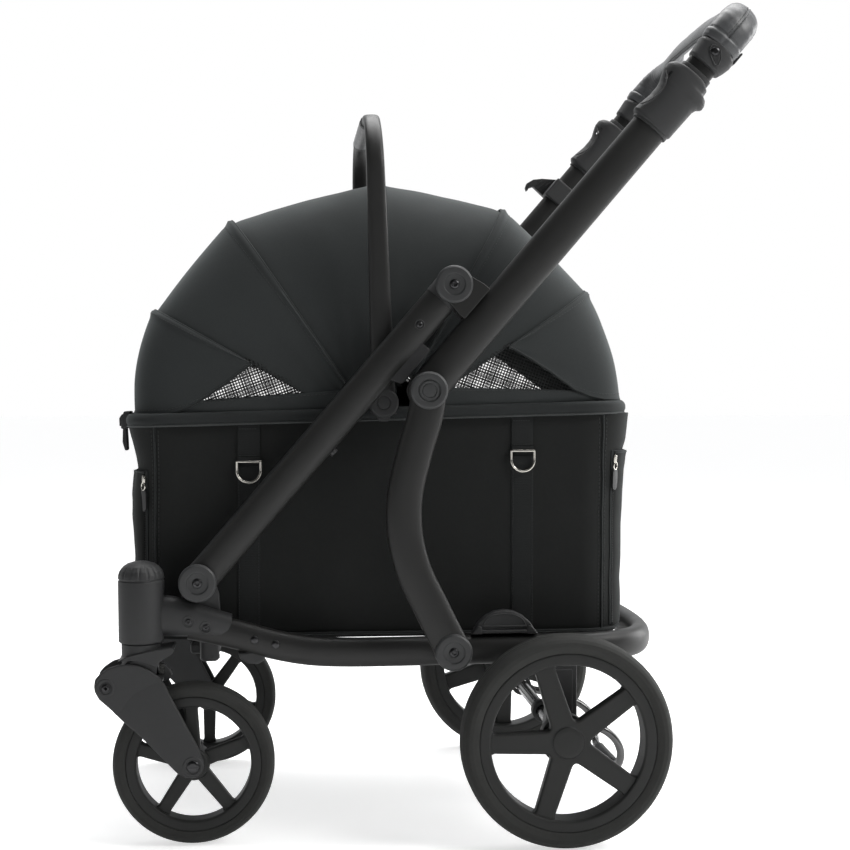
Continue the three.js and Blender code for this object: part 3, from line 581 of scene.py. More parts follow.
def sweep(S, path, ref, a, b, n=32, e=2.6, closed=False, size=None, mat=0, bulge=None, cap=True, ends=(0, 0), flat_uv=None):
    """A rounded-oval section along a path: a is its size along ref, b its size across. ends rounds each end over that length."""
    P = [np.array(p, float) for p in path]
    ref = np.array(ref, float)
    m = len(P)
    s = [0.0]
    for i in range(1, m):
        s.append(s[-1] + float(np.linalg.norm(P[i] - P[i - 1])))
    total = s[-1] + (float(np.linalg.norm(P[0] - P[-1])) if closed else 0)
    rows = []
    frames = []
    for i in range(m):
        p0 = P[(i - 1) % m] if closed else P[max(i - 1, 0)]
        p1 = P[(i + 1) % m] if closed else P[min(i + 1, m - 1)]
        T = (p1 - p0) / np.linalg.norm(p1 - p0)
        N = ref - T * float(ref @ T)
        N = N / np.linalg.norm(N)
        frames.append((P[i], T, N, np.cross(T, N), s[i]))
    if not closed:
        extra = []
        for end, where in ((0, 0), (1, -1)):
            if ends[end] > 0:
                c, T, N, L, d = frames[where]
                for k in (1, 2, 3, 4) if end else (4, 3, 2, 1):
                    th = math.pi / 2 * k / 4
                    extra.append((end, (c + T * (1 if end else -1) * ends[end] * math.sin(th), T, N, L, d + (1 if end else -1) * ends[end] * math.sin(th)), 1 - math.cos(th)))
        start = [(f, k * ends[0]) for w, f, k in extra if w == 0]
        stop = [(f, k * ends[1]) for w, f, k in extra if w == 1]
        allf = start + [(f, 0.0) for f in frames] + stop
    else:
        allf = [(f, 0.0) for f in frames]
    for (c, T, N, L, d), shrink in allf:
        t = min(1, max(0, d / total)) if total else 0
        k = size(t) if size else 1
        ka, kb = k if isinstance(k, tuple) else (k, k)
        row = []
        for j in range(n):
            th = 2 * math.pi * (j + 0.5) / n
            cs, sn = math.cos(th), math.sin(th)
            x = max(0.05, a / 2 * ka - shrink) * math.copysign(abs(cs) ** (2 / e), cs)
            y = max(0.05, b / 2 * kb - shrink) * math.copysign(abs(sn) ** (2 / e), sn)
            if bulge:
                q = 1 + bulge(d, th) / max(1e-6, math.hypot(x, y))
                x, y = x * q, y * q
            row.append(c + N * x + L * y)
        rows.append((row, d))
    R = len(rows)
    per = [0.0]
    mid = rows[R // 2][0]
    for j in range(1, n + 1):
        per.append(per[-1] + float(np.linalg.norm(mid[j % n] - mid[j - 1])))
    verts = [p for row, _ in rows for p in row]
    faces, uvs = [], []
    for i in range(R if closed else R - 1):
        ii = (i + 1) % R
        d0, d1 = rows[i][1], rows[ii][1] if ii else total
        for j in range(n):
            jj = (j + 1) % n
            faces.append([i * n + j, i * n + jj, ii * n + jj, ii * n + j])
            uvs.append([(per[j], d0), (per[j + 1], d0), (per[j + 1], d1), (per[j], d1)])
    if not closed and cap:
        for i in (0, R - 1):
            ring = [i * n + j for j in range(n)]
            faces.append(ring if i else ring[::-1])
            uvs.append([(verts[k][0], verts[k][1]) for k in (ring if i else ring[::-1])])
    S.add(verts, faces, mat, uvs)
    return S


def rod(S, p, q, r, n=20, mat=0, edge=0.5):
    d = np.array(q, float) - np.array(p, float)
    ref = (0, 1, 0) if abs(d[1]) < 0.9 * np.linalg.norm(d) else (1, 0, 0)
    p, q = np.array(p, float), np.array(q, float)
    T = d / np.linalg.norm(d)
    return sweep(S, [p + T * edge, q - T * edge], ref, 2 * r, 2 * r, n=n, e=2, mat=mat, ends=(edge, edge))


def pipe(S, path, r, n=12, mat=0, closed=False, ref=None):
    """A thin round line on any path, its frame carried along without twist."""
    P = [np.array(p, float) for p in path]
    m = len(P)
    T = []
    for i in range(m):
        a = P[(i - 1) % m] if closed else P[max(i - 1, 0)]
        b = P[(i + 1) % m] if closed else P[min(i + 1, m - 1)]
        T.append((b - a) / max(1e-9, np.linalg.norm(b - a)))
    N = np.array((0, 0, 1.0)) if abs(T[0][2]) < 0.9 else np.array((1.0, 0, 0))
    N = N - T[0] * float(N @ T[0])
    N /= np.linalg.norm(N)
    verts, faces, uvs, d = [], [], [], 0.0
    ds = []
    for i in range(m):
        if i:
            N = N - T[i] * float(N @ T[i])
            N /= np.linalg.norm(N)
            d += float(np.linalg.norm(P[i] - P[i - 1]))
        ds.append(d)
        L = np.cross(T[i], N)
        for j in range(n):
            th = 2 * math.pi * j / n
            verts.append(P[i] + r * (math.cos(th) * N + math.sin(th) * L))
    for i in range(m if closed else m - 1):
        ii = (i + 1) % m
        for j in range(n):
            jj = (j + 1) % n
            faces.append([i * n + j, i * n + jj, ii * n + jj, ii * n + j])
            a, b = 2 * math.pi * r * j / n, 2 * math.pi * r * (j + 1) / n
            d0, d1 = ds[i], ds[i] + 1 if ii == 0 else ds[ii]
            uvs.append([(a, d0), (b, d0), (b, d1), (a, d1)])
    if not closed:
        faces.append([j for j in range(n)][::-1])
        uvs.append([(0, 0)] * n)
        faces.append([(m - 1) * n + j for j in range(n)])
        uvs.append([(0, 0)] * n)
    S.add(verts, faces, mat, uvs)
    return S


def shell(S, o, i, mat=0, inner=None, wrap=False):
    """A closed sheet with thickness from two grids of points, o outside and i inside."""
    o, i = np.array(o, float), np.array(i, float)
    I, J = o.shape[:2]
    lu = np.zeros((I, J))
    lv = np.zeros((I, J))
    lu[:, 1:] = np.cumsum(np.linalg.norm(np.diff(o, axis=1), axis=2), axis=1)
    lu -= lu[:, J // 2 : J // 2 + 1]
    lv[1:] = np.cumsum(np.linalg.norm(np.diff(o, axis=0), axis=2), axis=0)
    verts = list(o.reshape(-1, 3)) + list(i.reshape(-1, 3))
    K = I * J
    faces, uvs, mats = [], [], []
    cols = J if wrap else J - 1
    close = np.linalg.norm(o[:, 0] - o[:, -1], axis=1) if wrap else None
    for a in range(I - 1):
        for b in range(cols):
            c = (b + 1) % J
            f = [a * J + b, (a + 1) * J + b, (a + 1) * J + c, a * J + c]
            uc = (lambda r: lu[r, c] if c else lu[r, b] + close[r])
            uv = [(lu[a, b], lv[a, b]), (lu[a + 1, b], lv[a + 1, b]), (uc(a + 1), lv[a + 1, c]), (uc(a), lv[a, c])]
            faces.append(f)
            uvs.append(uv)
            mats.append(mat)
            faces.append([K + k for k in f[::-1]])
            uvs.append(uv[::-1])
            mats.append(mat if inner is None else inner)
    for a in (0, I - 1):
        for b in range(cols):
            c = (b + 1) % J
            f = [a * J + b, a * J + c, K + a * J + c, K + a * J + b]
            faces.append(f if a == 0 else f[::-1])
            uvs.append([(lu[a, b], 0), (lu[a, b] + 3, 0), (lu[a, b] + 3, 3), (lu[a, b], 3)])
            mats.append(mat)
    if not wrap:
        for b in (0, J - 1):
            for a in range(I - 1):
                f = [(a + 1) * J + b, a * J + b, K + a * J + b, K + (a + 1) * J + b]
                faces.append(f if b == 0 else f[::-1])
                uvs.append([(lv[a, b], 0), (lv[a, b] + 3, 0), (lv[a, b] + 3, 3), (lv[a, b], 3)])
                mats.append(mat)
    base = len(S.v)
    S.v.extend((float(p[0]), float(p[1]), float(p[2])) for p in verts)
    for f, uv, m in zip(faces, uvs, mats):
        S.f.append([base + k for k in f])
        S.uv.append(uv)
        S.m.append(m)
    return S


def stitch_run(S, path, normals, pitch=4.5, length=3.0, r=0.45, mat=0):
    """Single stitches lying along a line, each a short bent thread."""
    P = np.array(path, float)
    N = np.array(normals, float)
    s = np.concatenate([[0], np.cumsum(np.linalg.norm(np.diff(P, axis=0), axis=1))])
    k = 0
    while (k + 1) * pitch < s[-1]:
        a = k * pitch + (pitch - length) / 2
        row = []
        for j in range(5):
            t = a + length * j / 4
            p = np.array([np.interp(t, s, P[:, q]) for q in range(3)])
            nn = np.array([np.interp(t, s, N[:, q]) for q in range(3)])
            nn = nn / max(1e-9, np.linalg.norm(nn))
            row.append(p + nn * (r * 0.75 * math.sin(math.pi * j / 4) - 0.15))
        pipe(S, row, r, n=5, mat=mat)
        k += 1
    return S


def loft(S, place, lo_line, hi_line, y, half_y, e=2.6, n=56, m=40, fillet=2.0, seg=4, mat=0):
    """A body along one axis whose section is a rounded oval between two edge lines given as [along, across]."""
    a0, a1 = lo_line[0][0], lo_line[-1][0]
    lx, ly = zip(*lo_line)
    hx, hy_ = zip(*hi_line)
    at = [(a0 + fillet * (1 - math.sin(math.pi / 2 * k / seg)), fillet * (1 - math.cos(math.pi / 2 * k / seg))) for k in range(seg, 0, -1)]
    at += [(a0 + fillet + (a1 - a0 - 2 * fillet) * k / m, 0.0) for k in range(m + 1)]
    at += [(a1 - fillet * (1 - math.sin(math.pi / 2 * k / seg)), fillet * (1 - math.cos(math.pi / 2 * k / seg))) for k in range(1, seg + 1)]
    verts, faces = [], []
    for al, shrink in at:
        lo_, hi_ = float(np.interp(al, lx, ly)), float(np.interp(al, hx, hy_))
        w = half_y(al) if callable(half_y) else half_y
        for j in range(n):
            th = 2 * math.pi * (j + 0.5) / n
            c, d = math.cos(th), math.sin(th)
            ac = (lo_ + hi_) / 2 + max(0.1, (hi_ - lo_) / 2 - shrink) * math.copysign(abs(c) ** (2 / e), c)
            yy = y + max(0.1, w - shrink) * math.copysign(abs(d) ** (2 / e), d)
            x, z = place(al, ac)
            verts.append((x, yy, z))
    R = len(at)
    for i in range(R - 1):
        for j in range(n):
            k = (j + 1) % n
            faces.append([i * n + j, i * n + k, (i + 1) * n + k, (i + 1) * n + j])
    faces.append([j for j in range(n)][::-1])
    faces.append([(R - 1) * n + j for j in range(n)])
    S.add(verts, faces, mat)
    return S


def carve(S, T, how="DIFFERENCE"):
    """One closed shape cut by, or kept inside, another; both are plain Shapes."""
    obs = []
    for q in (S, T):
        me = bpy.data.meshes.new("carve")
        me.from_pydata([tuple(c / 1000 for c in p) for p in q.v], [], q.f)
        me.polygons.foreach_set("material_index", np.array(q.m, np.int32))
        for _ in range(max(q.m) + 1):
            me.materials.append(None)
        bm = bmesh.new()
        bm.from_mesh(me)
        bmesh.ops.remove_doubles(bm, verts=bm.verts, dist=1e-6)
        bmesh.ops.recalc_face_normals(bm, faces=bm.faces)
        bm.to_mesh(me)
        bm.free()
        ob = bpy.data.objects.new("carve", me)
        bpy.context.scene.collection.objects.link(ob)
        obs.append(ob)
    mod = obs[0].modifiers.new("carve", "BOOLEAN")
    mod.operation = how
    mod.solver = "EXACT"
    mod.object = obs[1]
    got = bpy.data.meshes.new_from_object(obs[0].evaluated_get(bpy.context.evaluated_depsgraph_get()))
    out = Shape()
    out.add([tuple(c * 1000 for c in v.co) for v in got.vertices], [list(p.vertices) for p in got.polygons], 0)
    out.m = [p.material_index for p in got.polygons]
    for ob in obs:
        me = ob.data
        bpy.data.objects.remove(ob)
        bpy.data.meshes.remove(me)
    bpy.data.meshes.remove(got)
    return out


def join(S, T):
    o = len(S.v)
    S.v += T.v
    S.f += [[o + k for k in f] for f in T.f]
    S.m += T.m
    S.uv += T.uv
    return S


def button_screw(S, c, y, s, r=6.0, h=2.6, mat=0, socket=0, axis_n=36):
    """A domed button-head screw with a hex socket, facing out along s."""
    prof = [(0, h - 1.6), (r * 0.36, h - 1.6), (r * 0.42, h - 0.1), (r * 0.62, h - 0.25), (r * 0.86, h * 0.62), (r, 0.2), (r, -0.6), (0, -0.6)]
    lathe(S, prof, c, y, sign=s, n=axis_n, mat=mat, r=0.5)


def pivot_disc(S, c, y0, y1, s, r, style, mat=0, smat=1):
    """A moulded pivot cover from |y| y0 to y1 with turned detail on its face."""
    t = y1 - y0
    if style == "screw":
        prof = [(0, t - 1.5), (12.2, t - 1.5), (12.9, t - 0.2), (14.2, t), (r - 2.6, t), (r - 0.4, t - 1.6), (r, t - 2.6), (r, 0), (0, 0)]
    elif style == "ring":
        prof = [(0, t - 0.9), (7.4, t - 0.9), (7.9, t - 1.6), (8.6, t - 1.6), (9.1, t - 0.6), (11.4, t - 0.6), (12.0, t - 1.7), (13.0, t - 1.7), (13.7, t), (r - 2.6, t), (r - 0.5, t - 1.6), (r, t - 2.8), (r, 0), (0, 0)]
    else:
        prof = [(0, t), (r - 2.2, t), (r - 0.4, t - 1.2), (r, t - 2.4), (r, 0), (0, 0)]
    lathe(S, prof, c, s * y0, sign=s, n=96, mat=mat, r=0.5)
    if style == "screw":
        button_screw(S, c, s * (y1 - 1.5), s, 5.9, 2.5, smat)


# ---------- the camera, at the photographed view ----------
yaw, pitch = 0.089, -0.022
f = Vector((math.sin(yaw) * math.cos(pitch), math.cos(yaw) * math.cos(pitch), math.sin(pitch)))
rgt = Vector((math.cos(yaw), -math.sin(yaw), 0))
up = rgt.cross(f)
cam = bpy.data.cameras.new("camera")
cam.sensor_fit = "HORIZONTAL"
cam.sensor_width = 36
cam.lens = 36 * 1626.9 / 850
cam.clip_end = 100
camera = bpy.data.objects.new("camera", cam)
bpy.context.scene.collection.objects.link(camera)
camera.matrix_world = Matrix.Translation(pt(-333.7, -2145.4, 536.1)) @ Matrix((rgt, up, -f)).transposed().to_4x4()
bpy.context.scene.camera = camera

# ---------- floor and light ----------
me = bpy.data.meshes.new("floor")
me.from_pydata([(-30, -30, -0.0015), (30, -30, -0.0015), (30, 30, -0.0015), (-30, 30, -0.0015)], [], [(0, 1, 2, 3)])
floor = bpy.data.objects.new("floor", me)
bpy.context.scene.collection.objects.link(floor)
k = Mat("floor_paint", (0.82, 0.82, 0.82), 0.9, Specular_IOR_Level=0.1, Emission_Color=(1, 1, 1, 1), Emission_Strength=0.3)
k.vary(k.noise(3, 2), 0.985, 1.015)
# the sweep reads as paper white, while the object gets only a soft bounce from it
nt = k.m.node_tree
glow = nt.nodes.new("ShaderNodeMapRange")
glow.inputs["To Min"].default_value, glow.inputs["To Max"].default_value = 0.26, 0.62
nt.links.new(nt.nodes.new("ShaderNodeLightPath").outputs["Is Camera Ray"], glow.inputs["Value"])
nt.links.new(glow.outputs[0], k.b.inputs["Emission Strength"])
me.materials.append(k.m)

world = bpy.data.worlds.new("studio")
bpy.context.scene.world = world
world.use_nodes = True
wt = world.node_tree
seen, lit = wt.nodes["Background"], wt.nodes.new("ShaderNodeBackground")
seen.inputs[0].default_value = (1, 1, 1, 1)
seen.inputs[1].default_value = 1.0
lit.inputs[0].default_value = (0.98, 0.99, 1, 1)
# a white sweep behind and beside the object, and a dim room in front of it
way = wt.nodes.new("ShaderNodeSeparateXYZ")
wt.links.new(wt.nodes.new("ShaderNodeTexCoord").outputs["Generated"], way.inputs[0])
fall = wt.nodes.new("ShaderNodeMapRange")
fall.interpolation_type = "SMOOTHSTEP"
for key, v in (("From Min", -0.45), ("From Max", 0.75), ("To Min", 0.06), ("To Max", 0.95)):
    fall.inputs[key].default_value = v
lean = wt.nodes.new("ShaderNodeMath")
lean.operation = "MULTIPLY_ADD"
lean.inputs[1].default_value = 0.42
wt.links.new(way.outputs["X"], lean.inputs[0])
wt.links.new(way.outputs["Y"], lean.inputs[2])
wt.links.new(lean.outputs[0], fall.inputs["Value"])
wt.links.new(fall.outputs[0], lit.inputs[1])
wmix = wt.nodes.new("ShaderNodeMixShader")
wt.links.new(wt.nodes.new("ShaderNodeLightPath").outputs["Is Camera Ray"], wmix.inputs[0])
wt.links.new(lit.outputs[0], wmix.inputs[1])
wt.links.new(seen.outputs[0], wmix.inputs[2])
wt.links.new(wmix.outputs[0], wt.nodes["World Output"].inputs[0])


def area(name, where, aim, size, power, color=(1, 1, 1)):
    li = bpy.data.lights.new(name, "AREA")
    li.shape = "RECTANGLE"
    li.size, li.size_y = size
    li.energy = power
    li.color = color
    ob = bpy.data.objects.new(name, li)
    bpy.context.scene.collection.objects.link(ob)
    ob.location = where
    ob.rotation_euler = (Vector(aim) - Vector(where)).to_track_quat("-Z", "Y").to_euler()
    return ob


area("key", (2.5, -1.5, 2.5), (0.0, 0, 0.5), (1.5, 1.2), 58, (1, 0.995, 0.98))
area("fill", (-2.6, -1.2, 1.5), (-0.05, 0, 0.45), (1.4, 1.4), 3, (0.97, 0.985, 1))
area("top", (0.35, 0.5, 2.9), (0, 0, 0.5), (2.4, 2.0), 80)
area("side", (2.6, 1.0, 0.9), (0.2, 0, 0.4), (1.2, 1.4), 30)
bpy.context.scene.view_settings.view_transform = "Standard"

# =====================================================================
# chassis
# =====================================================================
HALF = [
    (-440, 205, 257), (-412, 205, 251), (-381, 205, 243.5), (-338, 205, 231.5), (-300, 205, 224.5), (-262, 205, 222), (-190, 205, 221.8),
    (-112, 205, 222.8), (-40, 205, 223.2), (0, 204, 223.4), (42, 199.5, 223.6), (78, 187, 223.8), (106, 162, 224), (122.5, 126, 224), (129, 84, 224), (131.5, 42, 224),
]
HALF = [(x - 4.5 * max(0.0, min(1.0, (x - 60) / 60)), y, z) for x, y, z in HALF]
LOOP = smooth([(x, -y, z) for x, y, z in HALF] + [(127.5, 0, 224)] + [(x, y, z) for x, y, z in HALF[::-1]], 200)
S = Shape()
sweep(S, LOOP, (0, 0, 1), 35, 26, n=44, e=2.35)
for s in (-1, 1):
    lathe(S, [(0, 0), (12, 0), (12, 18.8), (0, 18.8)], D, s * 214, sign=s, n=40)
    for x, z in ((-363.9, 239.7), (-339.1, 233.9)):
        lathe(S, [(0, 1.9), (2.0, 1.8), (4.2, 1.0), (4.9, 0.1), (4.9, -0.8), (0, -0.8)], (x, z), s * 218, sign=s, n=28, mat=1, r=0.3)
make("v_base_loop", S, [M_TUBE, M_SCREW], "frame_tube", "base_loop")

S = Shape()
prism(S, [(-442, -168), (-406, -168), (-406, 168), (-442, 168)], 215.5, 230.5, "z", bev=5, r=4)
for s in (-1, 1):
    a, b = span(s, 170, 189.0)
    prism(S, [(-430, a), (-406.6, a), (-406.6, b), (-430, b)], 209.6, 262, "z", bev=4.8, r=9, n=6)
    lathe(S, [(0, 0), (9, 0), (9, 5), (0, 5)], (-415, s * 180), 212.5, "z", n=32)
    # underside ribs of the moulding
for y in range(-150, 151, 30):
    prism(S, [(-439, y - 1.4), (-409, y - 1.4), (-409, y + 1.4), (-439, y + 1.4)], 212.8, 216.5, "z", bev=0.5)
make("v_front_crossmember", S, [M_PLASTIC], "frame_tube", "front_crossmember")

SLEEVE = [(-482, 290, 3), (-468, 292.4, 4), (-450, 288.5, 8), (-425, 279.5, 8), (-392, 269.5, 4), (-390.5, 261, 4), (-394, 253, 6), (-402, 246.5, 6), (-414, 243, 8), (-440, 244.4, 8), (-462, 246.7, 8), (-482, 246, 3)]
EAR = [(-452, 262, 3)] + [(x, z, 0) for x, z in arc(A, 19, 180, 0, 24)] + [(-406, 292, 5), (-404, 262, 3)]
for s, side in SIDES:
    S = Shape()
    y = s * FRONT_Y
    # post with a separate domed cap, its rim notched
    post = [(0, 300), (10.6, 300), (10.6, 238), (24.6, 238), (26.3, 239.6), (26.6, 270), (27.0, 310.6), (25.9, 311.4), (25.9, 312.6), (27.1, 313.4), (26.6, 318.2), (25.0, 322.6), (21.0, 327.6), (15.6, 331.2), (8.0, 333.5), (0, 334)]
    def ribs(r, h, t):
        if 312.9 < h < 330 and r > 12:
            k = ((math.cos(t * 8) ** 2) ** 9) * math.sin(math.pi * min(1, (h - 312.9) / 17.1)) ** 0.5
            return -1.1 * k
        return 0.0
    lathe(S, post, (SWIVEL_X, y), 0, "z", n=168, r=1.0, seg=3, wobble=ribs)
    # flared web between post and sleeve
    # the shell over the loop's end: rounded along its length, cut off slanting
    body_ = Shape()
    loft(body_, lambda al, ac: (al, ac), [(-486, 243), (-470, 244.4), (-440, 243.6), (-414, 242.4), (-380, 238)], [(-486, 287), (-476, 291.2), (-468, 292.2), (-458, 291), (-446, 287), (-425, 279.5), (-402, 272.6), (-380, 266)], s * 205.75, 15.9, e=2.7, m=44)
    cutter = Shape()
    prism(cutter, [(-500, 300, 0), (-392.2, 300, 0), (-390.6, 268, 2), (-391.2, 259, 7), (-395.5, 251.5, 6), (-403, 247, 5), (-414, 244.6, 3), (-425, 240, 0), (-500, 236, 0)], s * 205.75 - 20, s * 205.75 + 20, "y", bev=0.05, r=0.01, n=6)
    join(S, carve(body_, cutter, "INTERSECT"))
    # soft neck between the post and the shell
    loft(S, lambda al, ac: (al, ac), [(-492, 240.5), (-482, 242), (-474, 245.5), (-462, 247), (-450, 248)], [(-492, 291), (-484, 288.5), (-476, 288), (-466, 290), (-450, 286)], s * 205.75, lambda al: float(np.interp(al, [-492, -484, -476, -466, -450], [18.5, 15.6, 15.0, 15.5, 15.2])), e=2.5, m=24)
    a, b = span(s, 192.2, 199.5)
    prism(S, EAR, a, b, "y", bev=1.4, r=3)
    for x, z in ((-441.4, 262.6), (-420.8, 255.9)):
        lathe(S, [(0, -0.6), (5.6, -0.6), (5.9, 0.55), (6.9, 0.7), (7.4, 0), (7.4, -1), (0, -1)], (x, z), s * 221.5, sign=s, n=32, r=0.25)
        button_screw(S, (x, z), s * 221.0, s, 4.1, 1.9, 1)
    # fairing under the loop's first bend
    prism(S, [(-384, 224, 2), (-381, 216, 5), (-372, 210.5, 6), (-360, 209.6, 6), (-353.5, 213.5, 3), (-351, 221, 2), (-352, 226, 2)], *span(s, 198, 212), "y", bev=3, r=3, n=6)
    make("v_caster_housing_" + side, S, [M_PLASTIC, M_SCREW], "moulded_black", "caster_housing_" + side)

    S = Shape()
    lathe(S, [(0, 0), (5, 0), (5, 34.5), (0, 34.5)], A, s * 193, sign=s, n=24)
    pivot_disc(S, A, 226.7, 231.6, s, 22.4, "screw")
    make("v_lower_pivot_" + side, S, [M_CAP, M_SCREW], "pivot_cap", "lower_pivot_bolt_" + side)

    S = Shape()
    prism(S, [(-14, 205, 1), (21.7, 205, 1), (21.7, 132, 6), (16.5, 116, 6), (7, 109, 5), (-5, 109, 5), (-14, 116, 6), (-17, 127, 6), (-15, 150, 10)], *span(s, 196.5, 221), "y", bev=2.2, r=4, seg=4)
    lathe(S, [(9.0, 0), (15.5, 0), (15.5, 1.6), (14, 2.6), (9.0, 2.6)], REAR_AX, s * 219.5, sign=s, n=48)
    prism(S, [(-8, 200, 2), (16, 200, 2), (16, 146, 3), (-8, 150, 3)], *span(s, 219.6, 222.4), "y", bev=1.2, r=2)
    make("v_rear_strut_" + side, S, [M_PLASTIC], "moulded_black", "rear_strut_" + side)

    # dock release: a dome behind a raised arch, with a finger ledge
    S = Shape()
    DOME = [(-102.5, 242.6, 1), (-28.2, 242.6, 1), (-29.5, 249, 3), (-34, 256, 6), (-43, 264, 8), (-54, 269.2, 10), (-65.5, 270.8, 10), (-77, 269.2, 10), (-88, 264, 8), (-97, 256, 6), (-101.2, 249, 3)]
    prism(S, DOME, *span(s, 199, 213.4), "y", bev=2.0, r=6, n=5)
    prism(S, [(-106, 242.4, 1), (-92, 242.4, 1), (-93.2, 252, 3), (-97.2, 252.5, 2), (-101.5, 248, 3)], *span(s, 201, 217), "y", bev=1.6, r=2)
    prism(S, [(-24.5, 242.4, 1), (-38.5, 242.4, 1), (-37.4, 252, 3), (-33.4, 252.5, 2), (-29, 248, 3)], *span(s, 201, 217), "y", bev=1.6, r=2)
    prism(S, [(-93, 243.2, 1), (-38, 243.2, 1), (-38, 247.4, 1.2), (-93, 247.4, 1.2)], *span(s, 204, 216.6), "y", bev=1.2, r=1.2)
    prism(S, [(-92, 250.2, 1), (-39, 250.2, 1), (-39, 253, 1), (-92, 253, 1)], *span(s, 204, 215.4), "y", bev=0.9, r=1)
    ar = [(-91, 253), (-88, 259), (-80, 264.2), (-65.5, 266.2), (-51, 264.2), (-43, 259), (-40, 253)]
    pipe(S, even(smooth([(x, s * 213.2, z) for x, z in ar], 60), 48), 0.9, n=10)
    make("v_dock_release_" + side, S, [M_PLASTIC], "moulded_black", "dock_button_" + side)

S = Shape()
lathe(S, [(0, -285), (5, -285), (6, -284), (6, -246.4), (7.4, -246), (8, -245.4), (8, 245.4), (7.4, 246), (6, 246.4), (6, 284), (5, 285), (0, 285)], REAR_AX, 0, n=48, r=0.3)
for s in (-1, 1):
    lathe(S, [(8.3, 0), (11.5, 0), (11.5, 2.2), (8.3, 2.2)], REAR_AX, s * 192.6, sign=s, n=40, r=0.4)
make("v_rear_axle", S, [M_STEEL], "steel_rod", "rear_axle")


# ---------- wheels ----------
def tyre(side, prefix, c, cy, R, w, rim, body):
    S = Shape()
    k = R - rim
    half = [(rim - 0.6, 0.425 * w), (rim + 0.14 * k, 0.455 * w), (rim + 0.38 * k, 0.49 * w), (rim + 0.62 * k, 0.485 * w), (R - 0.2 * k, 0.42 * w), (R - 0.06 * k, 0.31 * w), (R, 0.2 * w)]
    tread = [(R, 0.2 * w), (R, 0.135 * w), (R - 1.3, 0.12 * w), (R - 1.3, 0.085 * w), (R, 0.07 * w)]
    up_ = half[:-1] + tread
    prof = [(r, h) for r, h in up_] + [(r, -h) for r, h in up_[::-1]]
    lathe(S, prof, c, cy, n=144, r=1.6, seg=3)
    make(f"v_{prefix}_tyre_{side}", S, [M_RUBBER], "tyre_rubber", f"{prefix}_tyre_{side}", angle=30)


def wheel(side, s, prefix, c, cy, w, rim, opening, phase, hub_w, arm_in, arm_out, thick, off, corner, cap, body):
    S = Shape()
    q = 0.42 * w
    prof = [
        (opening, -q + 3.2), (opening + 0.9, -q + 0.8), (opening + 2.6, -q), (rim - 2.4, -q), (rim - 1.0, -q + 0.4), (rim - 0.3, -q + 1.6), (rim - 0.1, -q + 3.0),
        (rim - 0.1, q - 3.0), (rim - 0.3, q - 1.6), (rim - 1.0, q - 0.4), (rim - 2.4, q), (opening + 2.6, q), (opening + 0.9, q - 0.8), (opening, q - 3.2),
    ]
    lathe(S, prof, c, cy, n=144, r=0.7, seg=2)
    # five-armed star, arms tapering outward, filleted where they meet
    out = []
    for k in range(5):
        t = math.radians(phase + 72 * k)
        def p(r, v, rad, t=t):
            return (c[0] + r * math.cos(t) - v * math.sin(t), c[1] + r * math.sin(t) + v * math.cos(t), rad)
        t2 = math.radians(phase + 72 * k + 36)
        out += [p(opening - 4.5, -arm_out / 2, 3), p(opening + 3.2, -arm_out / 2 - 3.5, 1), p(opening + 3.2, arm_out / 2 + 3.5, 1), p(opening - 4.5, arm_out / 2, 3)]
        rc = arm_in / 2 / math.sin(math.radians(36))
        out.append((c[0] + rc * math.cos(t2), c[1] + rc * math.sin(t2), corner))
    y0, y1 = cy + s * off - thick / 2, cy + s * off + thick / 2
    prism(S, out, y0, y1, "y", bev=3.0 if thick > 14 else 2.4, r=2, n=6, seg=4)
    face = s * off + (thick / 2 if s > 0 else -thick / 2)
    hr = rc * 0.86
    if prefix == "rear":
        lathe(S, [(0, 0.0), (hr - 2.5, 0.0), (hr - 0.5, -1.2), (hr, -3.0), (hr, -30), (0, -30)], c, cy + s * 15.1, sign=s, n=96, r=0.35)
        lathe(S, [(cap - 0.6, -1.0), (cap + 0.5, -1.0), (cap + 0.5, 0.08), (cap - 0.6, 0.08)], c, cy + s * 15.1, sign=s, n=96, mat=2)
        lathe(S, [(0, 1.5), (cap - 6, 1.3), (cap - 2.0, 0.8), (cap - 0.7, 0.1), (cap - 0.6, -1.0), (0, -1.0)], c, cy + s * 15.1, sign=s, n=96, r=0.5, mat=1)
        lathe(S, [(26, -10), (29.5, -10), (29.5, 6), (7, 6), (7, -4), (26, -4)], c, cy - s * 10, sign=s, n=72, r=0.5)
    else:
        lathe(S, [(5.6, -19), (16.5, -19), (19, -15), (19, 15), (16.5, 19), (5.6, 19)], c, cy, n=72, r=0.8)
    make(f"v_{prefix}_rim_{side}", S, [M_WHEEL, M_WHEEL, M_DARK], "moulded_black", f"{prefix}_rim_{side}", angle=35)


for s, side in SIDES:
    tyre(side, "rear", REAR_AX, s * REAR_Y, REAR_R, REAR_W, 105.2, None)
    wheel(side, s, "rear", REAR_AX, s * REAR_Y, REAR_W, 105.2, 90.8, 36 if s < 0 else -18, 39, 27.5, 23.5, 15.5, 7.2, 6.5, 19.4, None)
    tyre(side, "front", FRONT_AX, s * FRONT_Y, FRONT_R, FRONT_W, 80.2, None)
    wheel(side, s, "front", FRONT_AX, s * FRONT_Y, FRONT_W, 80.2, 67, 21 if s < 0 else 54, 38, 18, 15.5, 12.5, 3, 4.5, 9, None)
    S = Shape()
    rod(S, (3, s * 211, 144), (3, s * 247.6, 144), 3.5)
    make("v_brake_pin_" + side, S, [M_STEEL], "steel_rod", "brake_pin_" + side)

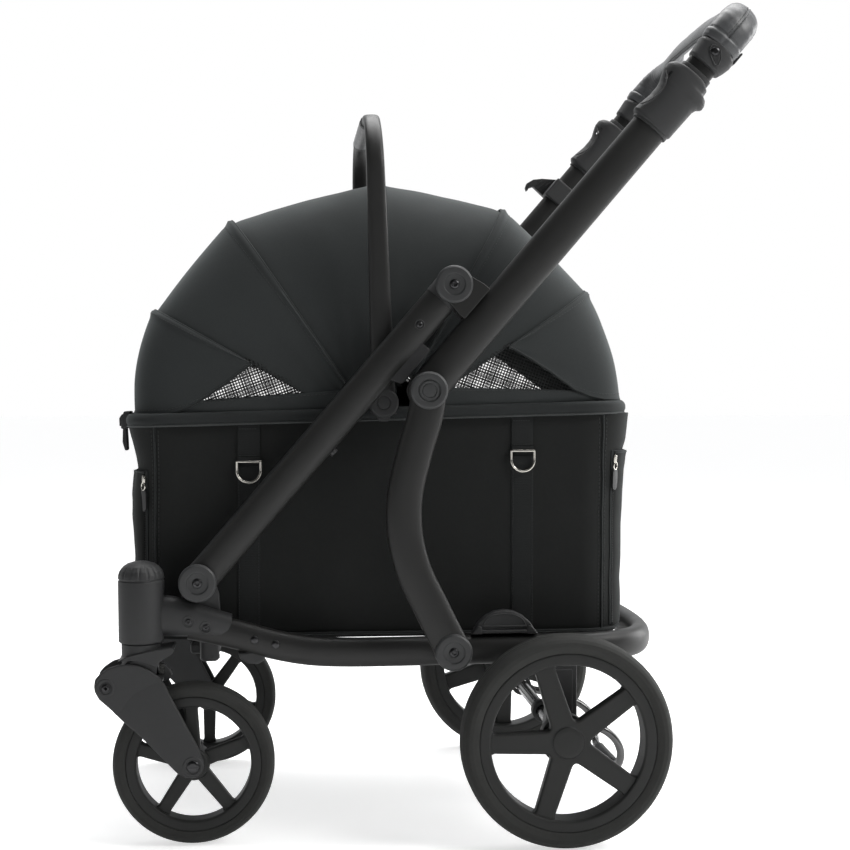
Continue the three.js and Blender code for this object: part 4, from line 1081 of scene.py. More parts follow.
# ---------- casters ----------
CROWN = [
    (-523, 236, 3), (-524, 217, 8), (-538, 206.5, 6), (-546.5, 198, 6), (-550, 188, 6), (-548.5, 180, 6), (-542, 174, 5), (-533.5, 172.9, 5), (-526, 176.5, 6), (-511, 191, 10), (-494, 207, 10), (-480, 213.6, 8),
    (-467, 214, 4), (-460, 222, 4), (-457.5, 230.6, 1), (-466, 231, 2), (-474, 236, 3),
]
ARM = [
    (-549.4, 190.7), (-548.4, 198.7), (-542.2, 205.7), (-532.4, 212.3), (-521.7, 215.5), (-509.5, 216.0), (-498.8, 214.1), (-486.6, 209.0), (-475.8, 201.9), (-467.8, 192.1), (-462.4, 180.4), (-445.5, 147.9),
    (-434.6, 127.2), (-428.2, 114.5), (-422.9, 101), (-423.4, 89.6), (-433, 81.3), (-445, 82), (-454, 87.6), (-492.3, 127.6), (-513.9, 147.4), (-532.6, 165.6), (-543.8, 175.6), (-548.6, 184.6),
]
HOOD = [
    (-524.5, 217.4, 1.0), (-517, 222.4, 10), (-505.6, 226.2, 14), (-492, 229.4, 10), (-478.6, 231.9, 8), (-459.6, 234.5, 3), (-457.8, 231.4, 3), (-459.4, 227.3, 4), (-473.2, 218.6, 6), (-475.4, 214.8, 2),
    (-477.6, 212.2, 1.5), (-489.5, 217.0, 8), (-503, 219.9, 10), (-515, 219.5, 8),
]
BLOCK = [
    (-540, 186, 5), (-538, 194, 6), (-530.5, 202.5, 8), (-522, 209.5, 8), (-513, 216.5, 8), (-503, 221, 8), (-489, 222, 6), (-478, 218, 2), (-475.6, 212.5, 1), (-475.6, 202.6, 1), (-479, 199, 2), (-500, 199, 6),
    (-512, 194, 8), (-526, 178, 6), (-533, 174.5, 5), (-539, 177.5, 5), (-541, 182, 4),
]
CREASE = [(-530, 140), (-520.5, 152.5), (-513.8, 164.1), (-501.6, 178.9), (-489.4, 185.6), (-478.6, 190.2), (-462, 193.4), (-448, 195)]
for s, side in SIDES:
    y = s * FRONT_Y
    S = Shape()
    lathe(S, [(0, 214), (22.4, 214), (22.9, 222), (23.1, 236.4), (22.2, 237.7), (0, 237.7)], (SWIVEL_X, y), 0, "z", n=96)
    lathe(S, [(0, 236), (9.8, 236), (9.8, 298), (8.6, 299), (0, 299)], (SWIVEL_X, y), 0, "z", n=40)
    prism(S, HOOD, y - 26, y + 26, "y", bev=0.8, r=3, n=6, seg=4)
    prism(S, BLOCK, y - 22.4, y + 22.4, "y", bev=1.6, r=5, n=6, seg=4)
    # stop lobe over the tyre
    prism(S, [(-480, 214, 2), (-474, 214.5, 3), (-464.5, 204.5, 5), (-461.2, 197.8, 3), (-464.0, 193.2, 3), (-470.6, 189.4, 1), (-473, 191.6, 4), (-477, 199, 3)], *span(s, 196, 206), "y", bev=1.0, r=2, n=5)
    for t in (-1, 1):
        lathe(S, [(0, 0), (5, 0), (5, 28.4), (0, 28.4)], ARM_PIVOT, y, sign=t, n=28)
    make("v_caster_fork_" + side, S, [M_PLASTIC], "moulded_black", "caster_fork_" + side)
    S = Shape()
    arm_line = [tuple(p) for p in rounded([(x, z) for x, z in ARM], 9, 5)]
    inner = [(ARM_PIVOT[0] + (x - ARM_PIVOT[0]) * 0.84 + 12 * 0.16, z) for x, z in ARM]
    cx, cz = -487, 153
    for t in (-1, 1):
        a, b = sorted((y + t * 22.8, y + t * 28))
        prism(S, arm_line, a, b, "y", bev=2.2, seg=5)
        # the leg's face stands proud of the lobe, with a soft step between them
        plate, wedge = Shape(), Shape()
        a, b = sorted((y + t * 24, y + t * 29.1))
        prism(plate, arm_line, a, b, "y", bev=2.8, seg=5)
        cre = even(smooth([(px_, 0, pz_) for px_, pz_ in CREASE], 60), 26)
        ring0, ring1 = [], []
        last = len(cre) - 1
        for i, c_ in enumerate(cre):
            d_ = cre[min(i + 1, last)] - cre[max(i - 1, 0)]
            run = max(1e-6, math.hypot(d_[0], d_[2]))
            nx_, nz_ = -d_[2] / run, d_[0] / run
            ring0.append((c_[0] + nx_ * 9, c_[2] + nz_ * 9))
            ring1.append((c_[0] - nx_ * 9, c_[2] - nz_ * 9))
        close = [(-380, 195), (-380, 40), (-540, 40)]
        wedge.add([(px_, y + t * 27.4, pz_) for px_, pz_ in ring0 + close] + [(px_, y + t * 29.2, pz_) for px_, pz_ in ring1 + close] + [(px_, y + t * 33, pz_) for px_, pz_ in ring1 + close], [], 0)
        n_ = len(ring0) + 3
        wedge.add([], [], 0)
        wedge.f += [[L * n_ + i, L * n_ + (i + 1) % n_, (L + 1) * n_ + (i + 1) % n_, (L + 1) * n_ + i] for L in (0, 1) for i in range(n_)] + [list(range(n_))[::-1], [2 * n_ + i for i in range(n_)]]
        wedge.m += [0] * (2 * n_ + 2)
        join(S, carve(plate, wedge, "INTERSECT"))
        hub_ = (ARM_PIVOT[0] - 0.2, ARM_PIVOT[1] + 1.4)
        lathe(S, [(7.0, 0), (11.0, 0), (11.0, 0.5), (10.2, 1.0), (7.7, 1.0), (7.0, 0.4)], hub_, y + t * 27.8, sign=t, n=56, r=0.3)
        lathe(S, [(0, 0.15), (7.1, 0.15), (7.1, -0.6), (0, -0.6)], hub_, y + t * 28, sign=t, n=40, mat=2)
        button_screw(S, hub_, y + t * 28.1, t, 4.9, 1.9, 1)
        lathe(S, [(8.0, 0), (12.4, 0), (12.4, 0.9), (11.4, 1.6), (8.7, 1.6), (8.0, 0.8)], FRONT_AX, y + t * 28.2, sign=t, n=56, r=0.4)
    prism(S, [(-493, 196.5, 1), (-480, 201, 1), (-470.4, 197.6, 2), (-471.5, 191, 2), (-491, 187, 2)], y - 21.5, y + 21.5, "y", bev=1.2, r=2)
    make("v_caster_arm_" + side, S, [M_PLASTIC, M_SCREW, M_DARK], "moulded_black", "caster_arm_" + side)
    S = Shape()
    lathe(S, [(0, 201.4), (5.8, 201.4), (6.5, 202.6), (5.4, 204), (6.5, 205.5), (5.4, 206.9), (6.5, 208.4), (5.6, 210), (6.3, 211.4), (5.6, 212), (0, 212)], (-476, y), 0, "z", n=40, r=0.4)
    buffer = make("v_caster_buffer_" + side, S, [M_RUBBER], "buffer_rubber", "caster_buffer_" + side)
    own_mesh(buffer)
    S = Shape()
    rod(S, (FRONT_AX[0], y - 27.6, FRONT_AX[1]), (FRONT_AX[0], y + 27.6, FRONT_AX[1]), 4.9, n=28)
    for t in (-1, 1):
        head, slot = Shape(), Shape()
        lathe(head, [(0, 2.2), (4.4, 2.0), (6.6, 1.3), (7.6, 0.2), (7.6, -0.8), (0, -0.8)], FRONT_AX, y + t * 28.6, sign=t, n=48, r=0.4)
        a, b = sorted((y + t * 29.6, y + t * 33))
        prism(slot, [(FRONT_AX[0] - 9, FRONT_AX[1] - 0.9), (FRONT_AX[0] + 9, FRONT_AX[1] - 0.9), (FRONT_AX[0] + 9, FRONT_AX[1] + 0.9), (FRONT_AX[0] - 9, FRONT_AX[1] + 0.9)], a, b, "y", bev=0.05)
        join(S, carve(head, slot))
    make("v_front_axle_" + side, S, [M_SCREW], "steel_rod", "front_axle_" + side)

# ---------- parking brake ----------
half = [(10, 92, 119), (38, 92, 113), (66, 91.5, 104), (84, 91, 96), (97, 90, 83.5), (103, 88, 69), (103, 83, 56), (102, 72, 47.5), (102, 56, 45)]
bar = smooth([(x, -y, z) for x, y, z in half] + [(102, 0, 44.5)] + [(x, y, z) for x, y, z in half[::-1]], 160)
S = Shape()
sweep(S, bar, (0.7071, 0, 0.7071), 10.2, 10.2, n=24, e=2)
sweep(S, [(102, y, 44.6) for y in np.linspace(-46, 46, 30)], (1, 0, 0), 14.5, 14.5, n=28, e=2, mat=1, ends=(2, 2), bulge=lambda d, t: 0.45 * max(0, math.cos(d * 2 * math.pi / 6.5)) - 0.2)
for s in (-1, 1):
    a, b = span(s, 84, 100)
    lathe(S, [(8.6, 0), (13.5, 0), (13.5, 16), (8.6, 16)], REAR_AX, a, n=48, mat=1, r=0.8)
    prism(S, [(6, 130, 2), (20, 121, 3), (22, 104, 3), (4, 113, 2)], *span(s, 85, 99), "y", bev=1.5, r=2, mat=1)
make("v_brake_bar", S, [M_STEEL, M_PLASTIC], "steel_rod", "brake_bar")

# =====================================================================
# folding frame
# =====================================================================
LEGPATH = [C, (-163, 508), (-175.5, 465), (-187.5, 412), (-188, 370), (-178, 325), (-156, 278), (-137, 240), D]
for s, side in SIDES:
    y = s * TUBE_Y
    ys = span(s, 200, 226)
    # front tube, round-ended over each pivot, with a moulded top end and lock block
    S = Shape()
    def fp(al, ac=0.0):
        x, z = on_front(al, ac)
        return (x, y, z)
    sweep(S, [fp(a) for a in np.linspace(0, 439.0, 24)], (0, 1, 0), 26, 40, n=48, e=2.25)
    sweep(S, [fp(a) for a in np.linspace(439.8, AB, 6)], (0, 1, 0), 26.8, 41, n=48, e=2.3, mat=1)
    sweep(S, [fp(a) for a in (436.5, 442)], (0, 1, 0), 25, 39, n=48, e=2.25, mat=2)
    lathe(S, [(5.4, -13), (18.4, -13), (20.0, -11), (20.0, 11), (18.4, 13), (5.4, 13)], A, y, n=72, r=0.8)
    lathe(S, [(5.4, -13.3), (19, -13.3), (20.4, -11), (20.4, 11), (19, 13.3), (5.4, 13.3)], B, y, n=72, r=0.8, mat=1)
    prism(S, [(*on_front(327, 14), 1), (*on_front(387, 14), 1), (*on_front(387.4, 30.4), 3), (*on_front(335, 31), 4)], *span(s, 205, 221), "y", bev=1.8, r=2, mat=2)
    x, z = on_front(401, 0)
    lathe(S, [(0, -0.3), (4.7, -0.3), (5.3, 0.5), (6.0, 0.2), (6.0, -0.8), (0, -0.8)], (x, z), s * 226, sign=s, n=32, r=0.25, mat=1)
    button_screw(S, (x, z), s * 225.7, s, 4.0, 1.8, 3)
    # small stop on the tube's underside
    px, pz = on_front(220, 19)
    qx, qz = on_front(220, 24)
    rod(S, (px, y, pz), (qx, y, qz), 5.2, n=28, mat=1, edge=1.2)
    make("v_front_tube_" + side, S, [M_TUBE, M_PLASTIC, M_DARK, M_SCREW], "frame_tube", "front_tube_" + side)

    S = Shape()
    a, b = on_front(343.5, 16), on_front(343.5, 34.6)
    rod(S, (a[0], y, a[1]), (b[0], y, b[1]), 3.5)
    make("v_lock_plunger_" + side, S, [M_STEEL], "steel_rod", "lock_plunger_" + side)

    # curved rear leg with a round boss at each end
    S = Shape()
    sweep(S, smooth([(x, s * LEG_Y, z) for x, z in LEGPATH], 96), (0, 1, 0), 22, 42, n=48, e=2.3)
    for c, r in ((C, 22.0), (D, 22.0)):
        lathe(S, [(0, -11), (20, -11), (22, -9), (22, 9), (20, 11), (0, 11)], c, s * LEG_Y, n=96, r=1.0)
    pivot_disc(S, C, 253, 258.3, s, 22.3, "ring", 1, 2)
    pivot_disc(S, D, 253, 258.3, s, 21.8, "screw", 1, 2)
    # the leg wears the darker copy of the powder coat: painted shade
    make("v_rear_leg_" + side, S, [M_LEG_PAINTED_SHADE, M_CAP, M_SCREW], "frame_tube", "rear_leg_" + side)

    # handle tube
    S = Shape()
    def hp(al, ac=0.0, yy=y):
        x, z = on_handle(al, ac)
        return (x, yy, z)
    sweep(S, [hp(a) for a in np.linspace(0, 469.5, 28)], (0, 1, 0), 26, 45, n=52, e=2.2)
    lathe(S, [(0, -13), (20.5, -13), (22.4, -11), (22.4, 11), (20.5, 13), (0, 13)], C, y, n=96, r=0.9)
    lathe(S, [(0, 0), (12, 0), (12, 13), (0, 13)], C, s * 220, sign=s, n=40)
    make("v_handle_tube_" + side, S, [M_TUBE], "frame_tube", "handle_tube_" + side)

    # bracket between the handle tube and the upper pivot
    S = Shape()
    cheek = [(*on_handle(93, -21), 1), (*on_handle(140, -21), 1), (*on_handle(140, -30), 4)] + [(px, pz, 0) for px, pz in arc(B, 18.6, 54.5, 224.5, 28)] + [(*on_handle(93, -30), 4)]
    prism(S, cheek, *span(s, 195.8, 199.6), "y", bev=0.9, r=3)
    prism(S, cheek, *span(s, 226.4, 229.5), "y", bev=0.9, r=3)
    prism(S, [(*on_handle(95, -34), 2), (*on_handle(139, -34), 2), (*on_handle(139, -22.8), 1), (*on_handle(95, -22.8), 1)], *span(s, 196, 229.4), "y", bev=1.2, r=2)
    # the bracket wears the leg's darker copy of the powder coat: painted shade
    make("v_handle_bracket_" + side, S, [M_LEG_PAINTED_SHADE], "moulded_black", "handle_bracket_" + side)

    S = Shape()
    lathe(S, [(0, 0), (5, 0), (5, 35.6), (0, 35.6)], B, s * 194.5, sign=s, n=28)
    pivot_disc(S, B, 229.7, 232.9, s, 22.4, "screw")
    make("v_upper_pivot_" + side, S, [M_CAP, M_SCREW], "pivot_cap", "upper_pivot_bolt_" + side)

    # release collar
    S = Shape()
    body_ = Shape()
    loft(body_, on_handle, [(416, -24.5), (420.7, -29.4), (430.1, -28), (445.5, -25.4), (458, -25.4), (465.4, -26.6), (474, -30.6), (481.3, -33.4), (489.1, -33.8), (494, -30.5), (497.6, -24)],
         [(416, 22.6), (420.8, 26.6), (428.6, 26.7), (462, 27.4), (468, 29.4), (472.4, 34.2), (477.5, 33.8), (482.3, 31.0), (485.2, 25.4), (492.4, 24.6), (497.6, 18.6)], y, 17.2, e=2.5, n=64, m=60, fillet=2.6)
    cutter = Shape()
    prism(cutter, [(*on_handle(p, q), 1.0) for p, q in ((469.6, -25.4), (480.6, -25.9), (480.6, -22.9), (469.6, -22.4))], y - 30, y + 30, "y", bev=0.05, r=1.0)
    join(S, carve(body_, cutter))
    # thumb scoop along the upper edge and a parting line round the foot
    scoop = [(426.5, -27.6), (436, -22.5), (448, -19.4), (460, -19.6), (471, -24.0), (479.5, -31.4)]
    for t in (-1, 1):
        ring_ = even(smooth([(on_handle(p, q)[0], y + t * 14.6 * (1 - (abs(q + 1) / 31.0) ** 2.5) ** 0.4 + t * 2.2, on_handle(p, q)[1]) for p, q in scoop], 60), 44)
        pipe(S, ring_, 0.8, n=8)
    sweep(S, [hp(414.2), hp(418.4)], (0, 1, 0), 30.5, 49.5, n=56, e=2.3, ends=(0.8, 0.8))
    make("v_release_collar_" + side, S, [M_PLASTIC, M_DARK], "moulded_black", "release_collar_" + side)

    # grip housing
    S = Shape()
    loft(S, on_handle, [(513.9, -18.4), (516.6, -21.6), (527, -22.8), (537.6, -24.2), (540.6, -22), (543.2, -15), (545.2, -6)], [(513.9, 17.8), (515.8, 23.0), (523, 25.6), (531.7, 27.6), (538, 27.2), (541.6, 24), (545.2, 13)], y, 17.4, e=2.7, n=64, m=36, fillet=2.2)
    TEAR = [(538.4, -4), (537.6, 4.5), (531, 10), (521.6, 13.4), (519.8, 9.4), (523.8, 0), (529.6, -7.2), (536, -8.8)]
    prism(S, [(*on_handle(p, q), 4) for p, q in TEAR], *span(s, 224, 230.9), "y", bev=0.8, r=4, n=5)
    prism(S, [(*on_handle(530.5 + (p - 530.5) * 0.8, 1.0 + (q - 1.0) * 0.8), 3.4) for p, q in TEAR], *span(s, 226, 231.3), "y", bev=0.3, r=4, n=5, mat=1)
    pipe(S, even([(px_, s * 230.8, pz_) for px_, pz_ in rounded([(*on_handle(p, q), 4) for p, q in TEAR], 4, 5)], 60, True), 0.75, n=8, closed=True)
    lathe(S, [(5.6, -0.4), (7.2, -0.4), (7.2, 0.5), (5.6, 0.5)], on_handle(532.2, -0.4), s * 231.0, sign=s, n=40, mat=1)
    lathe(S, [(0, 2.2), (2.8, 2.1), (4.6, 1.4), (5.5, 0.2), (5.5, -0.8), (0, -0.8)], on_handle(532.2, -0.4), s * 231.2, sign=s, n=40, mat=2, r=0.5)
    # clip behind the cuff
    prism(S, [(*on_handle(p, q), 0.9) for p, q in ((543.5, 26.4), (560, 26.6), (561, 28.2), (559.5, 29.2), (543.5, 29.2))], *span(s, 186, 207), "y", bev=0.7, r=0.9)
    make("v_grip_housing_" + side, S, [M_PLASTIC, M_DARK, M_SCREW], "moulded_black", "grip_housing_" + side)

# telescoping tubes and the stitched grip
BAR = [(213, 545.6), (213, 560), (211, 573), (204.5, 584.5), (193.5, 592.5), (179, 596.8), (160, 598), (140, 598), (115, 598), (90, 598), (60, 598), (30, 598)]
GRIP_SECT = [(0, -25.2, -10.5), (60, -24.8, -10), (95, -23.4, -7), (125, -21.8, 1), (150, -20.8, 10), (172, -20.8, 17), (190, -22, 21.5), (203, -24, 24.4), (209, -25, 25), (214, -25, 25)]
def grip_edges(yy):
    t_, f_, r_ = zip(*GRIP_SECT)
    return float(np.interp(abs(yy), t_, f_)), float(np.interp(abs(yy), t_, r_))
half = [(*on_handle(al, sum(grip_edges(yy)) / 2), yy) for yy, al in BAR]
mid = on_handle(598, sum(grip_edges(0)) / 2)
GRIP = even(smooth([(x, -yy, z) for x, z, yy in half] + [(mid[0], 0, mid[1])] + [(x, yy, z) for x, z, yy in half[::-1]], 240), 300)
ACROSS, ALONG = (HN[0], 0, HN[1]), (HT[0], 0, HT[1])
S = Shape()
for s in (-1, 1):
    p0, p1 = on_handle(205, 0), on_handle(545, 0)
    sweep(S, [(p0[0], s * 213, p0[1]), (p1[0], s * 213, p1[1])], (0, 1, 0), 20, 38, n=44, e=2.3)
    q0, q1 = on_handle(497.5, 0), on_handle(503, 0)
    sweep(S, [(q0[0], s * 213, q0[1]), (q1[0], s * 213, q1[1])], (0, 1, 0), 24, 42, n=40, e=2.8, mat=1, ends=(0.8, 0.8))
sweep(S, GRIP[::4], ACROSS, 10, 18, n=20, e=2)
make("v_telescoping_handle", S, [M_TUBE, M_PLASTIC], "frame_tube", "telescoping_handle")

S = Shape()
glen = sum(float(np.linalg.norm(GRIP[i + 1] - GRIP[i])) for i in range(len(GRIP) - 1))
def grip_skin(d, th):
    """Seam groove on the outer face, a raised cuff at each end and soft creases in the bends."""
    e0 = min(d, glen - d)
    v = 0.0
    for c in (math.pi / 2, -math.pi / 2):
        a = math.atan2(math.sin(th - c), math.cos(th - c))
        v -= 0.9 * math.exp(-((a / 0.035) ** 2))
    v += 1.1 * math.exp(-((max(0.0, 5.5 - e0) / 3.0) ** 2)) * (1 if e0 < 9 else 0) - (0.9 * math.exp(-(((e0 - 9.5) / 1.0) ** 2)))
    bend = math.exp(-(((e0 - 46) / 26) ** 2))
    p = noise.noise(Vector((d * 0.09, math.cos(th) * 1.5, math.sin(th) * 1.5)))
    v += 0.55 * bend * math.sin(d * 0.75 + 2.2 * math.cos(th)) * (0.4 + p) + 0.35 * noise.noise(Vector((d * 0.035, math.cos(th), math.sin(th) + 7)))
    return v
gd = np.concatenate([[0], np.cumsum([float(np.linalg.norm(GRIP[i + 1] - GRIP[i])) for i in range(len(GRIP) - 1)])]) / glen
gk = [(grip_edges(p[1])[1] - grip_edges(p[1])[0]) / 50 for p in GRIP]
sweep(S, GRIP, ACROSS, 50, 36, n=120, e=2.4, bulge=grip_skin, ends=(3, 3), size=lambda t: (float(np.interp(t, gd, gk)), 1 - 0.04 * (1 - float(np.interp(t, gd, gk)))))
# stitches each side of the seam
P_, N_ = [], []
for sign in (-1, 1):
    for off in (-1.9, 1.9):
        path, nor = [], []
        for i in range(3, len(GRIP) - 3, 2):
            T = GRIP[i + 1] - GRIP[i - 1]
            T /= np.linalg.norm(T)
            N = np.array(ACROSS)
            L = np.cross(T, N)
            path.append(GRIP[i] + L * sign * 18.0 + N * off)
            nor.append(L * sign)
        stitch_run(S, path, nor, 4.6, 3.1, 0.42, 1)
make("v_leather_grip", S, [M_LEATHER, M_THREAD], "leather_wrap", "leather_grip", angle=60)

# cup-holder hook
S = Shape()
prism(S, [(*on_handle(p, q), 3) for p, q in ((353, -25.2), (357, -25.8), (380, -25.8), (384, -25.2), (384, 25.8), (353, 25.8))], 196.5, 229.5, "y", bev=2.6, r=3, seg=4)
prism(S, [(*on_handle(p, q), 2.2) for p, q in ((354, -12), (355.4, -44), (349.5, -47.5), (343.6, -46.2), (347, -51.5), (353.5, -54), (363.5, -50.6), (373, -41.8), (386.5, -24), (385, -12))], 227, 239.5, "y", bev=1.4, r=2.2)
for q in (-24, -29, -34, -39):
    a, b = on_handle(358.5, q - 2), on_handle(379 + (q + 24) * 0.62, q - 0.5)
    rod(S, (a[0], 239.4, a[1]), (b[0], 239.4, b[1]), 0.9, n=10, edge=0.4)
    rod(S, (a[0], 227.2, a[1]), (b[0], 227.2, b[1]), 0.9, n=10, edge=0.4)
make("v_cup_hook", S, [M_PLASTIC], "moulded_black", "cup_holder_hook")


# =====================================================================
# carrier
# =====================================================================
def rim_z(x):
    return 506.6 + (x + 208) * 0.0275


class Loop:
    """A rounded rectangle seen from above, by signed length from the middle of its front; positive runs along the left side."""

    def __init__(self, x0, x1, w, r):
        self.x0, self.x1, self.w, self.r = x0, x1, w, r
        self.q = math.pi * r / 2
        self.a = w - r
        self.side = x1 - x0 - 2 * r
        self.half = 2 * self.a + 2 * self.q + self.side

    def at(self, s):
        sg = -1 if s >= 0 else 1
        t = abs(s)
        r = self.r
        if t <= self.a:
            return self.x0, sg * t, -1.0, 0.0
        t -= self.a
        if t <= self.q:
            th = t / r
            return self.x0 + r - r * math.cos(th), sg * (self.a + r * math.sin(th)), -math.cos(th), sg * math.sin(th)
        t -= self.q
        if t <= self.side:
            return self.x0 + r + t, sg * self.w, 0.0, float(sg)
        t -= self.side
        if t <= self.q:
            th = t / r
            return self.x1 - r + r * math.sin(th), sg * (self.a + r * math.cos(th)), math.sin(th), sg * math.cos(th)
        t -= self.q
        return self.x1, sg * (self.a - t), 1.0, 0.0

    def s_at_x(self, x, side=1, rear=False):
        """Length to where the wall's x is this, on the left side for side=1."""
        best, val = 0, 1e9
        for k in range(2000):
            s = self.half * k / 1999
            X, Y, _, _ = self.at(s)
            if abs(Y) < self.w * 0.4:
                continue
            if abs(X - x) < val:
                best, val = s, abs(X - x)
        return side * best


WALL = Loop(-512, 91, 163.6, 54)


def lerp_table(t, table):
    xs = [a for a, _ in table]
    ys = [b for _, b in table]
    return float(np.interp(t, xs, ys))


FRONT_Z = [(233, -2.5), (290, -3.5), (330, -6.5), (400, -6.0), (440, -3.5), (455, -0.5), (480, 6.0), (500, 10.5)]
REAR_Z = [(233, 2.5), (262, 0.5), (300, -1), (380, 0.5), (438, 2.5), (455, 5.0), (472, 11.0), (490, 13.5), (515, 16.0)]


def wall_point(s, z, off=0.0, detail=1.0):
    x, y, nx, ny = WALL.at(s)
    h = (z - 233) / 270
    d = 1.4 * math.sin(math.pi * min(1, max(0, h))) * ny * ny
    d += nx * nx * (lerp_table(z, FRONT_Z) if nx < 0 else lerp_table(z, REAR_Z))
    # slack between the seams
    n1 = noise.noise(Vector((x * 0.011, z * 0.016, y * 0.011 + 3)))
    n2 = noise.noise(Vector((x * 0.03, z * 0.045, y * 0.03 + 9)))
    d += detail * (1.3 * n1 + 0.55 * n2)
    # the lower edge turns under
    if z < 241:
        d -= (241 - z) ** 2 / 16.0
    return (x + nx * (d + off), y + ny * (d + off), z)


S = Shape()
nS, nZ = 420, 46
def z_top(s):
    return rim_z(WALL.at(s)[0]) - 8.2
outer, inner = [], []
for j in range(nZ + 1):
    t = j / nZ
    ro, ri = [], []
    for k in range(nS):
        s = -WALL.half + 2 * WALL.half * k / nS
        z = 233 + (z_top(s) - 233) * (t ** 0.92)
        ro.append(wall_point(s, z))
        ri.append(wall_point(s, max(239.5, z), -4.2, 0.6))
    outer.append(ro)
    inner.append(ri)
O, I_ = np.array(outer), np.array(inner)
# one closed body: outer wall, bottom, inner wall, floor, and the lip between the walls
verts = list(O.reshape(-1, 3)) + list(I_.reshape(-1, 3))
K = O.shape[0] * nS
lu = np.zeros((nZ + 1, nS))
step = 2 * WALL.half / nS
faces, uvs, mats = [], [], []
for a in range(nZ):
    for b in range(nS):
        c = (b + 1) % nS
        f4 = [a * nS + b, a * nS + c, (a + 1) * nS + c, (a + 1) * nS + b]
        uv = [(b * step, O[a, b, 2]), ((b + 1) * step, O[a, b, 2]), ((b + 1) * step, O[a + 1, b, 2]), (b * step, O[a + 1, b, 2])]
        faces.append(f4); uvs.append(uv); mats.append(0)
        if I_[a + 1, b, 2] > 239.51:
            faces.append([K + k for k in f4[::-1]]); uvs.append(uv[::-1]); mats.append(1)
for b in range(nS):
    c = (b + 1) % nS
    faces.append([nZ * nS + b, nZ * nS + c, K + nZ * nS + c, K + nZ * nS + b]); uvs.append([(b * step, 0), (b * step + 3, 0), (b * step + 3, 4), (b * step, 4)]); mats.append(0)
first = next(a for a in range(nZ) if I_[a + 1, 0, 2] > 239.51)
def close_ring(ids, mat, z):
    """Fan rings towards the middle so the floor is a proper grid."""
    ring = ids
    pts_ = [np.array(verts[i]) for i in ring]
    cen = sum(pts_) / len(pts_)
    for q in (0.93, 0.8, 0.55, 0.25):
        new = []
        for p in pts_:
            v = cen + (p - cen) * q
            new.append(len(verts))
            verts.append((v[0], v[1], z + 0.35 * noise.noise(Vector((v[0] * 0.02, v[1] * 0.02, z)))))
        for b in range(nS):
            c = (b + 1) % nS
            faces.append([ring[b], ring[c], new[c], new[b]])
            uvs.append([(verts[i][0], verts[i][1]) for i in (ring[b], ring[c], new[c], new[b])])
            mats.append(mat)
        ring = new
    verts.append((cen[0], cen[1], z))
    for b in range(nS):
        c = (b + 1) % nS
        faces.append([ring[b], ring[c], len(verts) - 1])
        uvs.append([(verts[i][0], verts[i][1]) for i in (ring[b], ring[c], len(verts) - 1)])
        mats.append(mat)
close_ring([b for b in range(nS)], 0, 232.2)
close_ring([K + first * nS + b for b in range(nS)], 1, 239.4)
used = sorted(set(k for f4 in faces for k in f4))
remap = {k: i for i, k in enumerate(used)}
base = Shape()
base.v = [tuple(float(q) for q in verts[k]) for k in used]
base.f = [[remap[k] for k in f4] for f4 in faces]
base.uv, base.m = uvs, mats
S = base

# piping round the base and up the panel seams
def wall_line(s0, s1, z, off, n=200):
    return [wall_point(s0 + (s1 - s0) * k / n, z(s0 + (s1 - s0) * k / n) if callable(z) else z, off) for k in range(n + 1)]
pipe(S, wall_line(-WALL.half, WALL.half * 0.9999, 238.6, 0.9, 400)[:-1], 1.7, n=10, mat=2, closed=True)
seam_x = [(-483.5, False), (63.0, True)]
for side in (1, -1):
    for x, _ in seam_x:
        s0 = WALL.s_at_x(x, side)
        pipe(S, [wall_point(s0, z, 0.7) for z in np.linspace(239, z_top(s0) - 1, 60)], 1.35, n=10, mat=2)
        for off in (-4.5, 4.5):
            path = [wall_point(s0 + off, z, 0.1) for z in np.linspace(242, z_top(s0) - 3, 120)]
            nn = [(WALL.at(s0)[2], WALL.at(s0)[3], 0)] * len(path)
            stitch_run(S, path, nn, 5.0, 3.3, 0.42, 3)
make("v_carrier_shell", S, [M_PANEL, M_LINING, M_BINDING, M_THREAD], "carrier_fabric", "carrier_tub", angle=50)

# straps that carry the D-rings, on both sides
def strap_strip(S, x0, x1, z0, z1, off, side, thick=1.5, mat=0, n=40, wave=0.0, fold=False):
    grid_o, grid_i = [], []
    for k in range(n + 1):
        z = z0 + (z1 - z0) * k / n
        ro, ri = [], []
        for x in np.linspace(x0, x1, 9):
            s_ = WALL.a + WALL.q + (x - (WALL.x0 + WALL.r))
            s_ *= side
            e = min(x - x0, x1 - x) / (x1 - x0)
            edge = -0.5 if e < 0.02 else 0.0
            w = wave * math.sin(z * 0.09)
            ro.append(wall_point(s_, z, off + thick + edge + w))
            ri.append(wall_point(s_, z, off + w))
        grid_o.append(ro)
        grid_i.append(ri)
    shell(S, grid_o, grid_i, mat)
    return S


